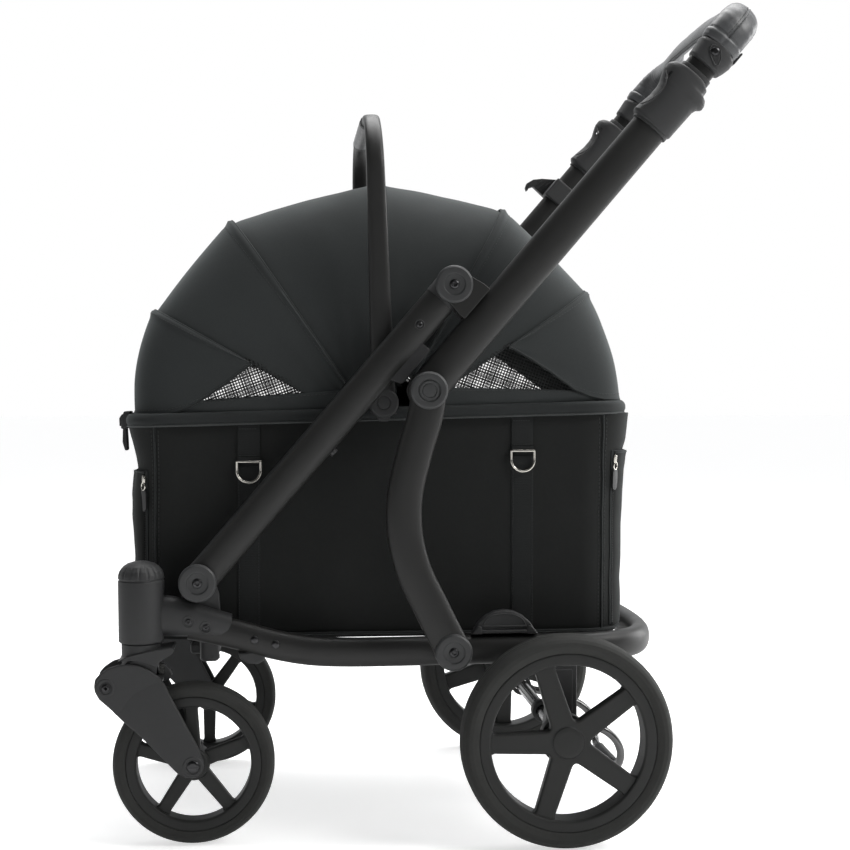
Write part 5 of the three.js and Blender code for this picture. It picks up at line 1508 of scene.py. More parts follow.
STRAPS = ((-371.3, 436.0), (-36.8, 448.0))
for side, nm in ((1, "left"), (-1, "right")):
    sy = -1 if side > 0 else 1
    S = Shape()
    for cx, cz in STRAPS:
        w = 13.7
        zt = rim_z(cx) - 9
        bar = cz + 13.2
        strap_strip(S, cx - w, cx + w, 241, bar - 7, 0.0, side, 1.3)
        strap_strip(S, cx - w + 0.4, cx + w - 0.4, bar - 3, zt, 1.2, side, 1.4)
        # doubled tab with the bar inside its fold
        strap_strip(S, cx - w + 0.2, cx + w - 0.2, bar - 2.5, bar + 4.5, 2.4, side, 2.6)
        for zz in (bar + 6.5, zt - 5):
            path = [wall_point(side * (WALL.a + WALL.q + (x - (WALL.x0 + WALL.r))), zz, 2.5) for x in np.linspace(cx - w + 2, cx + w - 2, 20)]
            stitch_run(S, path, [(0, sy, 0)] * len(path), 3.0, 2.1, 0.38, 1)
        for ex in (-w + 1.8, w - 1.8):
            path = [wall_point(side * (WALL.a + WALL.q + (cx + ex - (WALL.x0 + WALL.r))), z, 1.3) for z in np.linspace(243, bar - 9, 60)]
            stitch_run(S, path, [(0, sy, 0)] * len(path), 3.6, 2.5, 0.36, 1)
    make("v_ring_straps_" + nm, S, [M_WEB, M_THREAD], "carrier_fabric", body="carrier")
    S = Shape()
    for cx, cz in STRAPS:
        y0 = sy * (163.6 + 1.4 + 4.6)
        bar = cz + 12.4
        line = [(cx + 14.2, y0, bar)] + [(cx + 14.2 * math.cos(t), y0 - sy * 0.4 + sy * 1.2 * (math.sin(t) if t > 0 else 0), cz + 1.5 + 14.2 * math.sin(-t)) for t in np.linspace(0, math.pi, 28)] + [(cx - 14.2, y0, bar)]
        pts_ = even(smooth(line, 90), 70)
        pipe(S, pts_, 1.65, n=16)
        rod(S, (cx - 15.0, y0, bar), (cx + 15.0, y0, bar), 1.65, n=16)
    make("v_d_rings_" + nm, S, [M_NICKEL], "steel_rod", body="carrier")

# soft roll along the rim, with the bail's lugs
RIM = Loop(-515.3, 94.8, 164.9, 57)
S = Shape()
nR = 420
path = []
for k in range(nR):
    s = -RIM.half + 2 * RIM.half * k / nR
    x, y, nx, ny = RIM.at(s)
    path.append((x, y, rim_z(x) - 0.6))
def roll_skin(d, th):
    out = math.sin(th)
    v = 0.5 * noise.noise(Vector((d * 0.02, math.cos(th), math.sin(th) * 1.4))) + 0.25 * noise.noise(Vector((d * 0.11, math.cos(th) * 2, 5)))
    a = math.atan2(math.sin(th + 2.35), math.cos(th + 2.35))
    v -= 1.0 * math.exp(-((a / 0.11) ** 2))
    return v
sweep(S, path, (0, 0, 1), 16.6, 15.2, n=40, e=2.15, closed=True, bulge=roll_skin)
seam = []
for k in range(nR):
    s = -RIM.half + 2 * RIM.half * k / nR
    x, y, nx, ny = RIM.at(s)
    seam.append((x + nx * 5.6, y + ny * 5.6, rim_z(x) - 7.6))
# piping under the roll: a real cord, coloured light as a painted highlight along it
pipe(S, seam, 1.15, n=8, mat=3, closed=True)
for s in (-1, 1):
    lug = [(-226, rim_z(-226) - 2, 1)] + [(px, pz, 0) for px, pz in arc(BAIL, 15, 200, -20, 30)] + [(-191, rim_z(-191) - 2, 1)]
    prism(S, lug, *span(s, 166, 172.6), "y", bev=1.2, r=1, mat=2)
    lathe(S, [(0, 0), (9, 0), (9, 9), (0, 9)], BAIL, s * 168, sign=s, n=40, mat=2)
make("v_rim_roll", S, [M_ROLL, M_BINDING, M_PLASTIC, M_PIPING_PAINTED_HIGHLIGHT], "canopy_fabric", "carrier_rim_frame", angle=60)

# end pockets with vertical creases, a zip down each edge
def pocket(name, centre, s_edge, z0, z1, swell, seedz):
    S = Shape()
    nU, nV = 110, 40
    go, gi = [], []
    for j in range(nV + 1):
        t = j / nV
        ro, ri = [], []
        for k in range(nU + 1):
            u = -1 + 2 * k / nU
            s = centre + u * s_edge
            z = z0 + (z1 - z0) * t
            edge = (1 - abs(u) ** 6) ** 0.5 if abs(u) < 1 else 0
            low = min(1, t / 0.12) ** 0.6
            prof = lerp_table(t, [(0, 0.3), (0.2, 0.42), (0.5, 0.72), (0.72, 0.98), (0.86, 0.85), (1, 0.22)] if name == "front" else [(0, 0.35), (0.2, 0.5), (0.5, 0.62), (0.8, 1.0), (0.93, 1.05), (1, 0.72)])
            crease = math.sin(u * 21 + 1.7 * math.sin(t * 3 + seedz)) * 0.9 * max(0, t - 0.25) + 1.6 * noise.noise(Vector((u * 3.2, t * 1.6, seedz)))
            gather = 1.1 * math.sin(u * 46 + 2 * math.sin(u * 5)) * math.exp(-((1 - t) / 0.1) ** 2)
            off = 1.3 + edge * low * (swell * prof + crease * 0.9 + gather * 0.6)
            ro.append(wall_point(s if abs(s) <= WALL.half else s - math.copysign(2 * WALL.half, s), z, max(1.0, off) + 1.0))
            ri.append(wall_point(s if abs(s) <= WALL.half else s - math.copysign(2 * WALL.half, s), z, max(0.2, off - 1.2)))
        go.append(ro)
        gi.append(ri)
    shell(S, go, gi, 0)
    # bound top edge
    pipe(S, [np.array(p) * 0.5 + np.array(q) * 0.5 for p, q in zip(go[-1], gi[-1])], 1.7, n=10, mat=1)
    for e in (-1, 1):
        s = centre + e * s_edge
        s = s if abs(s) <= WALL.half else s - math.copysign(2 * WALL.half, s)
        # zip tape and teeth
        ds = 4.6 * e
        to, ti = [], []
        for z in np.linspace(z0, z1 + 2, 40):
            to.append([wall_point(s + ds * q, z, 1.5 - 0.3 * abs(q)) for q in (-1, -0.5, 0, 0.5, 1)])
            ti.append([wall_point(s + ds * q, z, 0.1) for q in (-1, -0.5, 0, 0.5, 1)])
        shell(S, to, ti, 1)
        z = z0 + 3
        while z < z1 - 8:
            p0, p1 = wall_point(s - 1.5, z, 1.9), wall_point(s + 1.5, z, 1.9)
            rod(S, p0, p1, 0.62, n=6, mat=2, edge=0.2)
            z += 2.1
    return S


for nm, centre, x_edge, z1, swell, seed in (("front", 0.0, -497.5, 435.0, 8.0, 1.3), ("rear", WALL.half, 77.5, 458.0, 5.2, 4.7)):
    s_edge = WALL.s_at_x(x_edge, 1)
    if nm == "rear":
        s_edge = WALL.half - s_edge
    S = pocket(nm, centre, s_edge, 243, z1, swell, seed)
    make("v_pocket_" + nm, S, [M_PANEL, M_BINDING, M_PLASTIC], "carrier_fabric", body="carrier", angle=60)
    # zip pulls on both corners
    S = Shape()
    for side in (1, -1):
        s0 = WALL.s_at_x(x_edge, side)
        x, y, nx, ny = WALL.at(s0)
        def q(du, z, off):
            p = wall_point(s0 + side * du, z, off)
            return p
        zt = z1 - 8
        rod(S, q(-2.6, zt, 2.6), q(2.6, zt, 2.6), 2.1, n=14, mat=0, edge=0.8)
        rod(S, q(0, zt + 4.4, 3.0), q(0, zt - 5.0, 3.0), 2.5, n=14, mat=0, edge=1.0)
        ring_ = [np.array(q(3.4 * math.cos(t), zt - 9.2 + 4.6 * math.sin(t), 4.4)) for t in np.linspace(0, 2 * math.pi, 24, endpoint=False)]
        pipe(S, ring_, 0.95, n=10, mat=0, closed=True)
        go, gi = [], []
        for k in range(13):
            t = k / 12
            z = zt - 12.5 - 27 * t
            w_ = 4.9 * (1 - 0.0 * t) * (math.sqrt(max(0.02, 1 - (2 * t - 1) ** 8)))
            go.append([q(w_ * v, z, 5.3 - 0.8 * t - 0.25 * abs(v)) for v in (-1, -0.6, 0, 0.6, 1)])
            gi.append([q(w_ * v, z, 3.3 - 0.8 * t + 0.25 * abs(v)) for v in (-1, -0.6, 0, 0.6, 1)])
        shell(S, go, gi, 1)
    make("v_zip_pulls_" + nm, S, [M_NICKEL, M_PLASTIC], "steel_rod", body="carrier")

# side-release buckles on the front rim
S = Shape()
for y in (-78, 78):
    prism(S, [(-531.0, 486.5, 2), (-531.5, 497, 2), (-527.5, 508.5, 3), (-518, 509, 2), (-521.6, 497, 2), (-522.5, 487, 2)], y - 15, y + 15, "y", bev=1.6, r=2.5, seg=3)
    prism(S, [(-529, 489, 1), (-529.6, 470, 1.5), (-526.6, 459.5, 2), (-523.0, 459.5, 2), (-523.4, 470, 1.5), (-524.5, 489, 1)], y - 11, y + 11, "y", bev=1.2, r=1.5, mat=0)
    for t in (-1, 1):
        prism(S, [(-533.0, 490, 1), (-533.4, 500, 2), (-530, 505, 2), (-528, 505, 1), (-528, 490, 1)], y + t * 10.5 - 2.4, y + t * 10.5 + 2.4, "y", bev=0.9, r=1)
make("v_front_buckles", S, [M_PLASTIC], "moulded_black", body="carrier")


# ---------- mattress: simulated padded cushion with sewn channels ----------
def mattress():
    bm = bmesh.new()
    lp = Loop(-497, 77, 149, 42)
    n = 64
    rings = []
    for z, inset in ((243, 6), (248, 1), (258, 0), (267, 1.5), (272, 7)):
        ring = []
        for k in range(n):
            s = -lp.half + 2 * lp.half * k / n
            x, y, nx, ny = lp.at(s)
            ring.append(bm.verts.new(pt(x - nx * inset, y - ny * inset, z)))
        rings.append(ring)
    for a, b in zip(rings, rings[1:]):
        for k in range(n):
            bm.faces.new((a[k], a[(k + 1) % n], b[(k + 1) % n], b[k]))
    bm.faces.new(rings[0][::-1])
    bm.faces.new(rings[-1])
    bmesh.ops.recalc_face_normals(bm, faces=bm.faces)
    me = bpy.data.meshes.new("v_mattress")
    bm.to_mesh(me)
    bm.free()
    ob = bpy.data.objects.new("v_mattress", me)
    bpy.context.scene.collection.objects.link(ob)
    def apply(kind, name):
        dg = bpy.context.evaluated_depsgraph_get()
        new = bpy.data.meshes.new_from_object(ob.evaluated_get(dg))
        ob.modifiers.clear()
        old = ob.data
        ob.data = new
        bpy.data.meshes.remove(old)
    m = ob.modifiers.new("remesh", "REMESH")
    m.mode = "VOXEL"
    m.voxel_size = 0.0075
    apply("REMESH", "remesh")
    rest = np.array([v.co for v in ob.data.vertices])
    m = ob.modifiers.new("cloth", "CLOTH")
    m.settings.use_pressure = True
    m.settings.uniform_pressure_force = 4
    m.settings.effector_weights.gravity = 0
    m.settings.quality = 5
    sc = bpy.context.scene
    for fr in range(1, 17):
        sc.frame_set(fr)
    dg = bpy.context.evaluated_depsgraph_get()
    got = np.array([v.co for v in ob.evaluated_get(dg).data.vertices])
    ob.modifiers.clear()
    sc.frame_set(1)
    d = got - rest
    l = np.linalg.norm(d, axis=1, keepdims=True)
    d *= np.minimum(1, 0.006 / np.maximum(l, 1e-9))
    new = rest + d
    new[:, 2] = np.maximum(new[:, 2], 0.2405)
    ob.data.vertices.foreach_set("co", new.astype(np.float32).ravel())
    # sewn channels across, and a tufted crown
    co = np.array([v.co for v in ob.data.vertices])
    x = (co[:, 0] - X0) * 1000
    y = co[:, 1] * 1000
    z = co[:, 2] * 1000
    top = z > 262
    depth = np.zeros(len(co))
    for c in (-354, -210, -66):
        depth += 4.2 * np.exp(-(((x - c) / 3.4) ** 2))
    for c in (-75, 75):
        depth += 3.6 * np.exp(-(((y - c) / 3.4) ** 2))
    z[top] -= np.minimum(depth, 4.8)[top]
    co[:, 2] = z / 1000
    ob.data.vertices.foreach_set("co", co.astype(np.float32).ravel())
    m = ob.modifiers.new("sub", "SUBSURF")
    m.levels = m.render_levels = 1
    apply("SUBSURF", "sub")
    me = ob.data
    uvl = me.uv_layers.new(name="UVMap") if "UVMap" not in me.uv_layers else me.uv_layers["UVMap"]
    cof = np.array([v.co for v in me.vertices])
    li = np.zeros(len(me.loops), np.int32)
    me.loops.foreach_get("vertex_index", li)
    uvl.data.foreach_set("uv", (cof[li][:, :2] * 10).astype(np.float32).ravel())
    me.materials.clear()
    me.materials.append(M_PAD)
    me.shade_smooth()
    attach(ob, "carrier")
    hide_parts("mattress")


mattress()

# =====================================================================
# canopy: cloth over four bows that turn about the bail pivot
# =====================================================================
def square(deg):
    return lerp_table(deg, [(-6, 7.2), (0, 7.2), (27.3, 4.4), (56.3, 3.3), (90, 3.0), (128.4, 3.3), (158, 4.4), (184, 7.2), (190, 7.2)])


BOWS = {"f1": (124.3, 22.6, 1), "f2": (150.7, 36.0, 1), "r1": (60.3, -16.0, 1), "r2": (34.0, -30.0, 1)}


def bow(name, rho):
    th, d, _ = BOWS[name]
    return th + math.degrees(math.asin(max(-0.8, min(0.8, d / max(rho, 1)))))


def fan_point(deg, rho, y):
    t = math.radians(deg)
    return np.array((BAIL[0] + rho * math.cos(t), y, BAIL[1] + rho * math.sin(t)))


def arch(w, r, e, u):
    c, s = math.cos(u), math.sin(u)
    return w * math.copysign(abs(c) ** (2 / e), c), r * abs(s) ** (2 / e)


def arch_us(w, r, e, rho0, n):
    """Parameters spaced evenly along the arch, from where it is rho0 from the pivot line."""
    u0 = math.asin(min(1, (rho0 / r) ** (e / 2)))
    us = np.linspace(u0, math.pi - u0, 1200)
    p = np.array([arch(w, r, e, u) for u in us])
    s = np.concatenate([[0], np.cumsum(np.linalg.norm(np.diff(p, axis=0), axis=1))])
    return np.interp(np.linspace(0, s[-1], n + 1), s, us)


def offset_in(grid, t):
    """The inner face of a cloth grid, t inside its surface."""
    g = np.array(grid, float)
    du = np.gradient(g, axis=1)
    dv = np.gradient(g, axis=0)
    n = np.cross(du, dv)
    n /= np.maximum(1e-9, np.linalg.norm(n, axis=2, keepdims=True))
    cen = np.array((BAIL[0], 0, BAIL[1] + 20))
    flip = np.sign(((g - cen) * n).sum(2, keepdims=True))
    flip[flip == 0] = 1
    n = n * flip
    return g - n * t, n


def panel(first, last, r_first, r_last, w0, w1, rho0, nA, nU, sag, hoop, seed, lips=(1, 1), ridge=None):
    """Cloth between two bows. first and last name the bows; r and w their radius and half width."""
    nom0, nom1 = bow(first, 300), bow(last, 300)
    g = []
    pa = np.array((r_first * math.cos(math.radians(nom0)), r_first * math.sin(math.radians(nom0))))
    pb = np.array((r_last * math.cos(math.radians(nom1)), r_last * math.sin(math.radians(nom1))))
    span_mm = np.linalg.norm(pb - pa)
    for i in range(nA + 1):
        t = i / nA
        t = t + 0.0 * math.sin(2 * math.pi * t)
        deg = nom0 + (nom1 - nom0) * t
        dvec = np.array((math.cos(math.radians(deg)), math.sin(math.radians(deg))))
        e_ = pb - pa
        chord = (pa[0] * e_[1] - pa[1] * e_[0]) / (dvec[0] * e_[1] - dvec[1] * e_[0])
        lin = r_first + (r_last - r_first) * t
        r = sag * chord + (1 - sag) * lin
        if ridge:
            r = ridge(deg, r)
        dist = min(t, 1 - t) * span_mm
        lip = 0.0
        for k, tt in ((0, t), (1, 1 - t)):
            if lips[k]:
                m = tt * span_mm
                lip += hoop * (math.exp(-(((m - 4.5) / 4.5) ** 2)) - 1.15 * math.exp(-((m / 1.6) ** 2)) - 0.35 * math.exp(-(((m - 12) / 3.5) ** 2)))
        w = w0 + (w1 - w0) * t
        e = square(deg)
        row = []
        for u in arch_us(w, r, e, rho0, nU):
            y, rho = arch(w, r, e, u)
            k = lip
            k += 0.9 * math.sin(math.pi * t) * noise.noise(Vector((t * 2.0 + seed, y * 0.012, rho * 0.01)))
            # a few shallow drags from the lower corners
            lowness = max(0.0, 1 - rho / 170.0)
            k += 1.3 * lowness * math.sin(t * 15 + seed + rho * 0.03) * math.sin(math.pi * t)
            sc = 1 + k / math.hypot(y, rho)
            d = bow(first, rho) + (bow(last, rho) - bow(first, rho)) * t
            row.append(fan_point(d, rho * sc, y * sc))
        g.append(row)
    return g


def add_cloth(S, g, thick, mat=0, inner=None):
    gi, n = offset_in(g, thick)
    shell(S, g, gi, mat, inner)
    return np.array(g), n


def seam_line(S, g, n, row, lift, r, mat):
    pipe(S, [g[row, k] + n[row, k] * lift for k in range(g.shape[1])], r, n=8, mat=mat)


def stitched(S, g, n, row, mat, lift=0.0):
    stitch_run(S, [g[row, k] for k in range(g.shape[1])], [n[row, k] for k in range(g.shape[1])], 4.6, 3.1, 0.4, mat)


def declare(ob, grid):
    """Turns the outer grid into metres and keeps nothing of it."""
    P = np.array(grid, float) / 1000


# centre, carried by the rim: two halves that meet at a seam under the bail
S = Shape()
def centre_ridge(deg, r):
    return r
g = []
# the crown is lower than the two outer bows: follow the middle bow
def centre_grid():
    nA, nU = 72, 120
    pts_ = [(56.9, 296.2), (90, 282.0), (128.6, 295.2)]
    out = []
    for i in range(nA + 1):
        t = i / nA
        deg = 56.9 + (128.6 - 56.9) * t
        k = 0 if deg < 90 else 1
        (a0, r0), (a1, r1) = pts_[k], pts_[k + 1]
        pa = np.array((r0 * math.cos(math.radians(a0)), r0 * math.sin(math.radians(a0))))
        pb = np.array((r1 * math.cos(math.radians(a1)), r1 * math.sin(math.radians(a1))))
        dv = np.array((math.cos(math.radians(deg)), math.sin(math.radians(deg))))
        e_ = pb - pa
        chord = (pa[0] * e_[1] - pa[1] * e_[0]) / (dv[0] * e_[1] - dv[1] * e_[0])
        tt = (deg - a0) / (a1 - a0)
        lin = r0 + (r1 - r0) * tt
        r = 0.8 * chord + 0.2 * lin
        r += 1.2 * math.exp(-(((deg - 90) / 2.2) ** 2))
        mm = (deg - 56.9) * 5.2
        nn = (128.6 - deg) * 5.2
        r -= sum(1.2 * math.exp(-((m / 6.0) ** 2)) for m in (mm, nn))
        e = square(deg)
        row = []
        for u in arch_us(160, r, e, 46, nU):
            y, rho = arch(160, r, e, u)
            wv = math.sin(math.pi * tt)
            kk = 1.3 * wv * noise.noise(Vector((deg * 0.06 + 3, y * 0.012, rho * 0.011))) + 0.5 * noise.noise(Vector((deg * 0.2, y * 0.03, rho * 0.03 + 5)))
            lowness = max(0.0, 1 - rho / 190.0)
            kk += 1.2 * lowness * math.sin(deg * 0.5 + rho * 0.02) * wv
            sc = 1 + kk / math.hypot(y, rho)
            f0, f1 = bow("r1", rho), bow("f1", rho)
            if deg <= 90:
                d = f0 + (90 - f0) * ((deg - 56.9) / (90 - 56.9))
            else:
                d = 90 + (f1 - 90) * ((deg - 90) / (128.6 - 90))
            row.append(fan_point(d, rho * sc, y * sc))
        out.append(row)
    return out
G, Nn = add_cloth(S, centre_grid(), 2.2, 0, 3)
mid_row = int(round((90 - 56.9) / (128.6 - 56.9) * 72))
seam_line(S, G, Nn, mid_row, 0.2, 1.0, 1)
for rw in (mid_row - 2, mid_row + 2):
    stitched(S, G, Nn, rw, 2)
declare(make("v_canopy_centre", S, [M_CANOPY, M_BINDING, M_THREAD, M_LINING], "canopy_fabric", "canopy_centre", angle=60), G)

# the bows' piping stays with the cloth it is sewn to
for nm, first, last, r0, r1, body, node, lips in (
    ("front", "f1", "f2", 300.2, 303.0, "hood_front_mid", "canopy_front_panel", (1, 0)),
    ("rear", "r1", "r2", 300.0, 303.0, "hood_rear_mid", "canopy_rear_panel", (1, 0)),
):
    S = Shape()
    g = panel(first, last, r0, r1, 162.4, 164.0, 52, 34, 120, 0.8, 1.9, 11.0 if nm == "front" else 17.0, lips)
    G, Nn = add_cloth(S, g, 2.2, 0, 3)
    seam_line(S, G, Nn, 0, -1.0, 1.5, 1)
    for rw in (3,):
        stitched(S, G, Nn, rw, 2)
    declare(make("v_canopy_%s_panel" % nm, S, [M_CANOPY, M_BINDING, M_THREAD, M_LINING], "canopy_fabric", node, body=body, angle=60), G)


def petal(front):
    """The end hood: its free lower edge sweeps up from the rim to the second bow."""
    nV, nU = 44, 150
    if front:
        nm, sgn, rho_tip = "f2", 1, 166.0
        edge = [(166, 163.3), (178, 168.5), (192, 173.4), (206, 176.6), (221, 179.5), (236, 181.5), (251, 182.6), (262, 183.0), (400, 183.2)]
        radius = [(0, 307.6), (0.12, 307.9), (0.35, 308.6), (0.7, 307.8), (1, 305.6)]
    else:
        nm, sgn, rho_tip = "r2", -1, 170.0
        edge = [(170, 24.0), (184, 18.4), (199, 13.4), (218, 8.2), (238, 3.8), (258, 1.7), (276, 0.9), (400, 0.2)]
        radius = [(0, 305.0), (0.12, 304.8), (0.35, 304.6), (0.7, 305.6), (1, 305.8)]
    w = 167.6
    g = []
    for i in range(nV + 1):
        t = i / nV
        r = lerp_table(t, radius)
        nominal = bow(nm, 300) + ((183.0 if front else 0.4) - bow(nm, 300)) * t
        e = square(nominal)
        mm = t * 128.0
        lip = 1.8 * (math.exp(-(((mm - 4.5) / 4.5) ** 2)) - 1.15 * math.exp(-((mm / 1.6) ** 2)))
        row = []
        for u in arch_us(w, r, e, rho_tip, nU):
            y, rho = arch(w, r, e, u)
            d0 = bow(nm, rho)
            d1 = lerp_table(rho - 12.0 * max(0.0, min(1.0, (y - 60) / 60)), edge)
            if front:
                d1 = max(d1, d0 + 0.35)
            else:
                d1 = min(d1, d0 - 0.35)
            d = d0 + (d1 - d0) * t
            wide = abs(d1 - d0) / 26.0
            k = lip * min(1, wide * 3)
            k -= 2.2 * math.sin(math.pi * t) * math.exp(-(((rho - 235) / 55) ** 2)) * (1 if abs(y) > 60 else abs(y) / 60)
            k += 1.0 * noise.noise(Vector((t * 3 + (2 if front else 8), y * 0.013, rho * 0.01)))
            # the turned edge
            k += 0.9 * math.exp(-(((1 - t) * 128 * max(0.15, wide) / 3.0) ** 2))
            sc = 1 + k / math.hypot(y, rho)
            row.append(fan_point(d, rho * sc, y * sc))
        g.append(row)
    return g


def mesh_window(S, poly, surface, pitch, angle, thread, mat):
    """A real net: square cells on the canopy's side, cut to an outline of [x, z] points."""
    P = np.array(poly, float)
    c, s_ = math.cos(angle), math.sin(angle)
    rot = lambda x, z: (x * c + z * s_, -x * s_ + z * c)
    q = np.array([rot(x, z) for x, z in P])
    lo_, hi_ = q.min(0), q.max(0)
    def inside(x, z):
        n, ins = len(P), False
        j = n - 1
        for i in range(n):
            if (P[i][1] > z) != (P[j][1] > z) and x < (P[j][0] - P[i][0]) * (z - P[i][1]) / (P[j][1] - P[i][1]) + P[i][0]:
                ins = not ins
            j = i
        return ins
    nx, nz = int((hi_[0] - lo_[0]) / pitch) + 1, int((hi_[1] - lo_[1]) / pitch) + 1
    idx, cells, verts = {}, [], []
    def vid(i, k):
        if (i, k) not in idx:
            a, b = lo_[0] + i * pitch, lo_[1] + k * pitch
            x, z = a * c - b * s_, a * s_ + b * c
            idx[i, k] = len(verts)
            verts.append(surface(x, z))
        return idx[i, k]
    for i in range(nx):
        for k in range(nz):
            a, b = lo_[0] + (i + 0.5) * pitch, lo_[1] + (k + 0.5) * pitch
            if inside(a * c - b * s_, a * s_ + b * c):
                cells.append((vid(i, k), vid(i + 1, k), vid(i + 1, k + 1), vid(i, k + 1)))
    bm = bmesh.new()
    bv = [bm.verts.new(v) for v in verts]
    for f4 in cells:
        bm.faces.new([bv[k] for k in f4])
    bm.normal_update()
    bmesh.ops.wireframe(bm, faces=bm.faces[:], thickness=thread, offset=0.0, use_replace=True, use_boundary=True, use_even_offset=True)
    bm.verts.index_update()
    S.add([v.co[:] for v in bm.verts], [[v.index for v in f_.verts] for f_ in bm.faces], mat)
    bm.free()


def side_surface(w, front):
    def at(x, z, sy):
        dx, dz = x - BAIL[0], z - BAIL[1]
        rho = math.hypot(dx, dz)
        deg = math.degrees(math.atan2(dz, dx)) % 360
        if deg > 270:
            deg -= 360
        r = 303.0
        e = square(deg)
        q = min(0.985, rho / r)
        return sy * w * (1 - q**e) ** (1 / e)
    return at


def hem_line(front):
    """Top edge of the hem by x."""
    if front:
        return [(-515, 513.5), (-470, 517.5), (-429.8, 521.8), (-360, 527.0), (-294, 532.1), (-262, 534.6), (-245, 536)]
    return [(-175, 541), (-129, 538.2), (-60, 537.0), (22.7, 535.1), (60, 531.0), (90, 527.0), (112, 525)]


def hem_band(S, front, mat):
    """The soft band above the rim: crowned, with slack creases, round one end of the carrier."""
    w, r = 164.6, 300.6
    n = 260
    us = arch_us(w, r, 7.2, 40.0, n)
    nv = 14
    base_z = lambda x: rim_z(x) + 6.4
    table = hem_line(front)
    xs = [a for a, _ in table]
    o, i_ = [], []
    line = []
    for u in us:
        y, rho = arch(w, r, 7.2, u)
        x = BAIL[0] + (-rho if front else rho)
        line.append(np.array((x, y)))
    line = np.array(line)
    tan = np.gradient(line, axis=0)
    nor = np.stack([tan[:, 1], -tan[:, 0]], 1)
    nor /= np.linalg.norm(nor, axis=1, keepdims=True)
    cen = np.array((BAIL[0], 0))
    if ((line[len(line) // 2] - cen) @ nor[len(line) // 2]) < 0:
        nor = -nor
    for j in range(nv + 1):
        t = j / nv
        ro, ri = [], []
        for k in range(n + 1):
            x, y = line[k]
            z0 = base_z(x)
            z1 = max(z0 + 5, lerp_table(x, table))
            z = z0 + (z1 - z0) * t
            sd = float(k) / n * 700
            cr = 0.9 * noise.noise(Vector((sd * 0.03, t * 1.4, 2 if front else 6))) + 0.5 * math.sin(sd * 0.16 + 4 * t + 3 * noise.noise(Vector((sd * 0.01, 0, 1)))) * (1 - t)
            crown = 2.3 * math.sin(math.pi * min(1, max(0, t * 0.96 + 0.02))) ** 0.7
            off = crown + cr * math.sin(math.pi * t) - 1.0 * (t > 0.97)
            ro.append((x + nor[k, 0] * off, y + nor[k, 1] * off, z))
            ri.append((x - nor[k, 0] * 1.8, y - nor[k, 1] * 1.8, z))
        o.append(ro)
        i_.append(ri)
    shell(S, o, i_, mat)
    G = np.array(o)
    N3 = np.concatenate([nor, np.zeros((n + 1, 1))], 1)
    pipe(S, [G[0, k] + N3[k] * 0.6 for k in range(n + 1)], 1.5, n=8, mat=1)
    stitch_run(S, [G[nv - 2, k] for k in range(n + 1)], N3, 4.6, 3.1, 0.38, 2)


for front in (True, False):
    nm = "front" if front else "rear"
    body = "hood_" + nm
    S = Shape()
    G, Nn = add_cloth(S, petal(front), 2.2, 0, 3)
    last_ = G.shape[0] - 1
    # bound free edge and the stitching inside it
    seam_line(S, G, Nn, last_, -1.0, 1.35, 1)
    seam_line(S, G, Nn, 0, -1.0, 1.5, 1)
    stitched(S, G, Nn, 2, 2)
    stitched(S, G, Nn, last_ - 2, 2)
    hood = make("v_canopy_%s_hood" % nm, S, [M_CANOPY, M_BINDING, M_THREAD, M_LINING], "canopy_fabric", "canopy_%s_hood" % nm, body=body, angle=60)
    hood_grid = G
    S = Shape()
    hem_band(S, front, 0)
    hem = make("v_canopy_%s_hem" % nm, S, [M_CANOPY, M_BINDING, M_THREAD], "canopy_fabric", body=body, angle=60)
    S = Shape()
    at = side_surface(163.2, front)
    def seam_z(x, bowname):
        """Height of the second bow's seam above a place along the side."""
        th, d, _ = BOWS[bowname]
        t = math.radians(th)
        # the seam is a straight line d off the pivot
        n_ = (-math.sin(t), math.cos(t))
        px_, pz_ = BAIL[0] + n_[0] * d, BAIL[1] + n_[1] * d
        k = (x - px_) / math.cos(t)
        return pz_ + k * math.sin(t)
    table = hem_line(front)
    xs = np.linspace(-470, -262, 30) if front else np.linspace(-165, 68, 30)
    top_line, low_line = [], []
    for x in xs:
        zs = seam_z(x, "f2" if front else "r2")
        if front:
            petal_z = lerp_table(x, [(-480, 520), (-459, 516), (-430, 529), (-399.7, 548), (-385, 560), (-369.6, 573), (-300, 640)])
        else:
            petal_z = lerp_table(x, [(-120, 690), (-52, 594), (-35, 583), (-14.7, 572), (10, 556), (28.9, 543), (60, 534), (82, 530)])
        zt = min(zs + 3, petal_z + 7)
        zb = lerp_table(x, table) - 4
        if zt > zb + 1:
            top_line.append((x, zt))
            low_line.append((x, zb))
    poly = top_line + low_line[::-1]
    for sy in (-1, 1):
        mesh_window(S, poly, lambda x, z, sy=sy: (x, at(x, z, sy), z), 3.7, math.radians(20 if front else -20), 1.25, 0)
    net = make("v_canopy_%s_net" % nm, S, [M_NET], "canopy_fabric", body=body, angle=60)
    declare(hood, hood_grid)

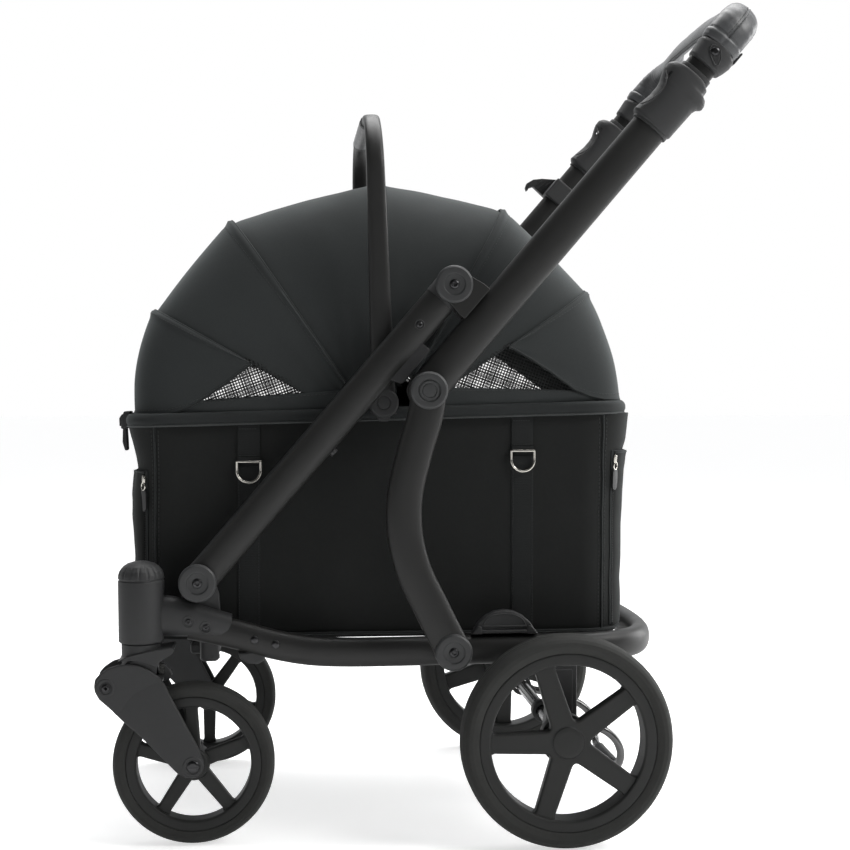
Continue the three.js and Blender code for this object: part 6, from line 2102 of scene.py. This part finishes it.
# =====================================================================
# bail
# =====================================================================
cb, sb = math.cos(BAIL_LEAN), math.sin(BAIL_LEAN)
def lean(y, h):
    return (BAIL[0] + h * sb, y, BAIL[1] + h * cb)
H, R = BAIL_TOP - BAIL[1], 74
pts_ = [lean(-BAIL_Y, h) for h in np.linspace(0, H - R, 26)]
pts_ += [lean(-(BAIL_Y - R + R * math.cos(math.radians(a))), H - R + R * math.sin(math.radians(a))) for a in np.linspace(4, 90, 24)]
line = pts_ + [(x, -y, z) for x, y, z in pts_[::-1]]
AX = (cb, 0, -sb)
S = Shape()
sweep(S, line, AX, 29, 14, n=44, e=3.2, size=lambda t: (1 - 0.29 * min(1, 2.9 * min(t, 1 - t)), 1 - 0.1 * min(1, 2.9 * min(t, 1 - t))))
for s in (-1, 1):
    lathe(S, [(0, 14), (7.0, 14), (7.4, 13.2), (8.2, 13.2), (8.6, 14), (15.6, 14), (17.4, 12.6), (18, 11), (18, 1), (17, 0), (0, 0)], BAIL, s * 177.5, sign=s, n=72, r=0.5, mat=1)
    prism(S, [(BAIL[0] - 9, BAIL[1] - 10, 2), (BAIL[0] + 9, BAIL[1] - 10, 2), (BAIL[0] + 7, BAIL[1] - 22.5, 4), (BAIL[0] - 7, BAIL[1] - 22.5, 4)], *span(s, 178.5, 187), "y", bev=1.6, r=3, mat=1)
def grip_line(y0, y1, n):
    return [lean(y, H) for y in np.linspace(y0, y1, n)]
sweep(S, grip_line(-84, 84, 90), AX, 24.5, 16.4, n=48, e=2.3, mat=2, ends=(2, 2), bulge=lambda d, t: 0.35 * noise.noise(Vector((d * 0.05, math.cos(t), math.sin(t)))) - (0.8 * math.exp(-((math.atan2(math.sin(t + 1.57), math.cos(t + 1.57)) / 0.06) ** 2))))
for y0, y1 in ((-98, -84.5), (84.5, 98)):
    sweep(S, grip_line(y0, y1, 4), AX, 23.4, 15.4, n=48, e=2.6, mat=1, ends=(1.2, 1.2))
make("v_carrier_bail", S, [M_TUBE, M_PLASTIC, M_LEATHER], "bail_metal", "carrier_bail")
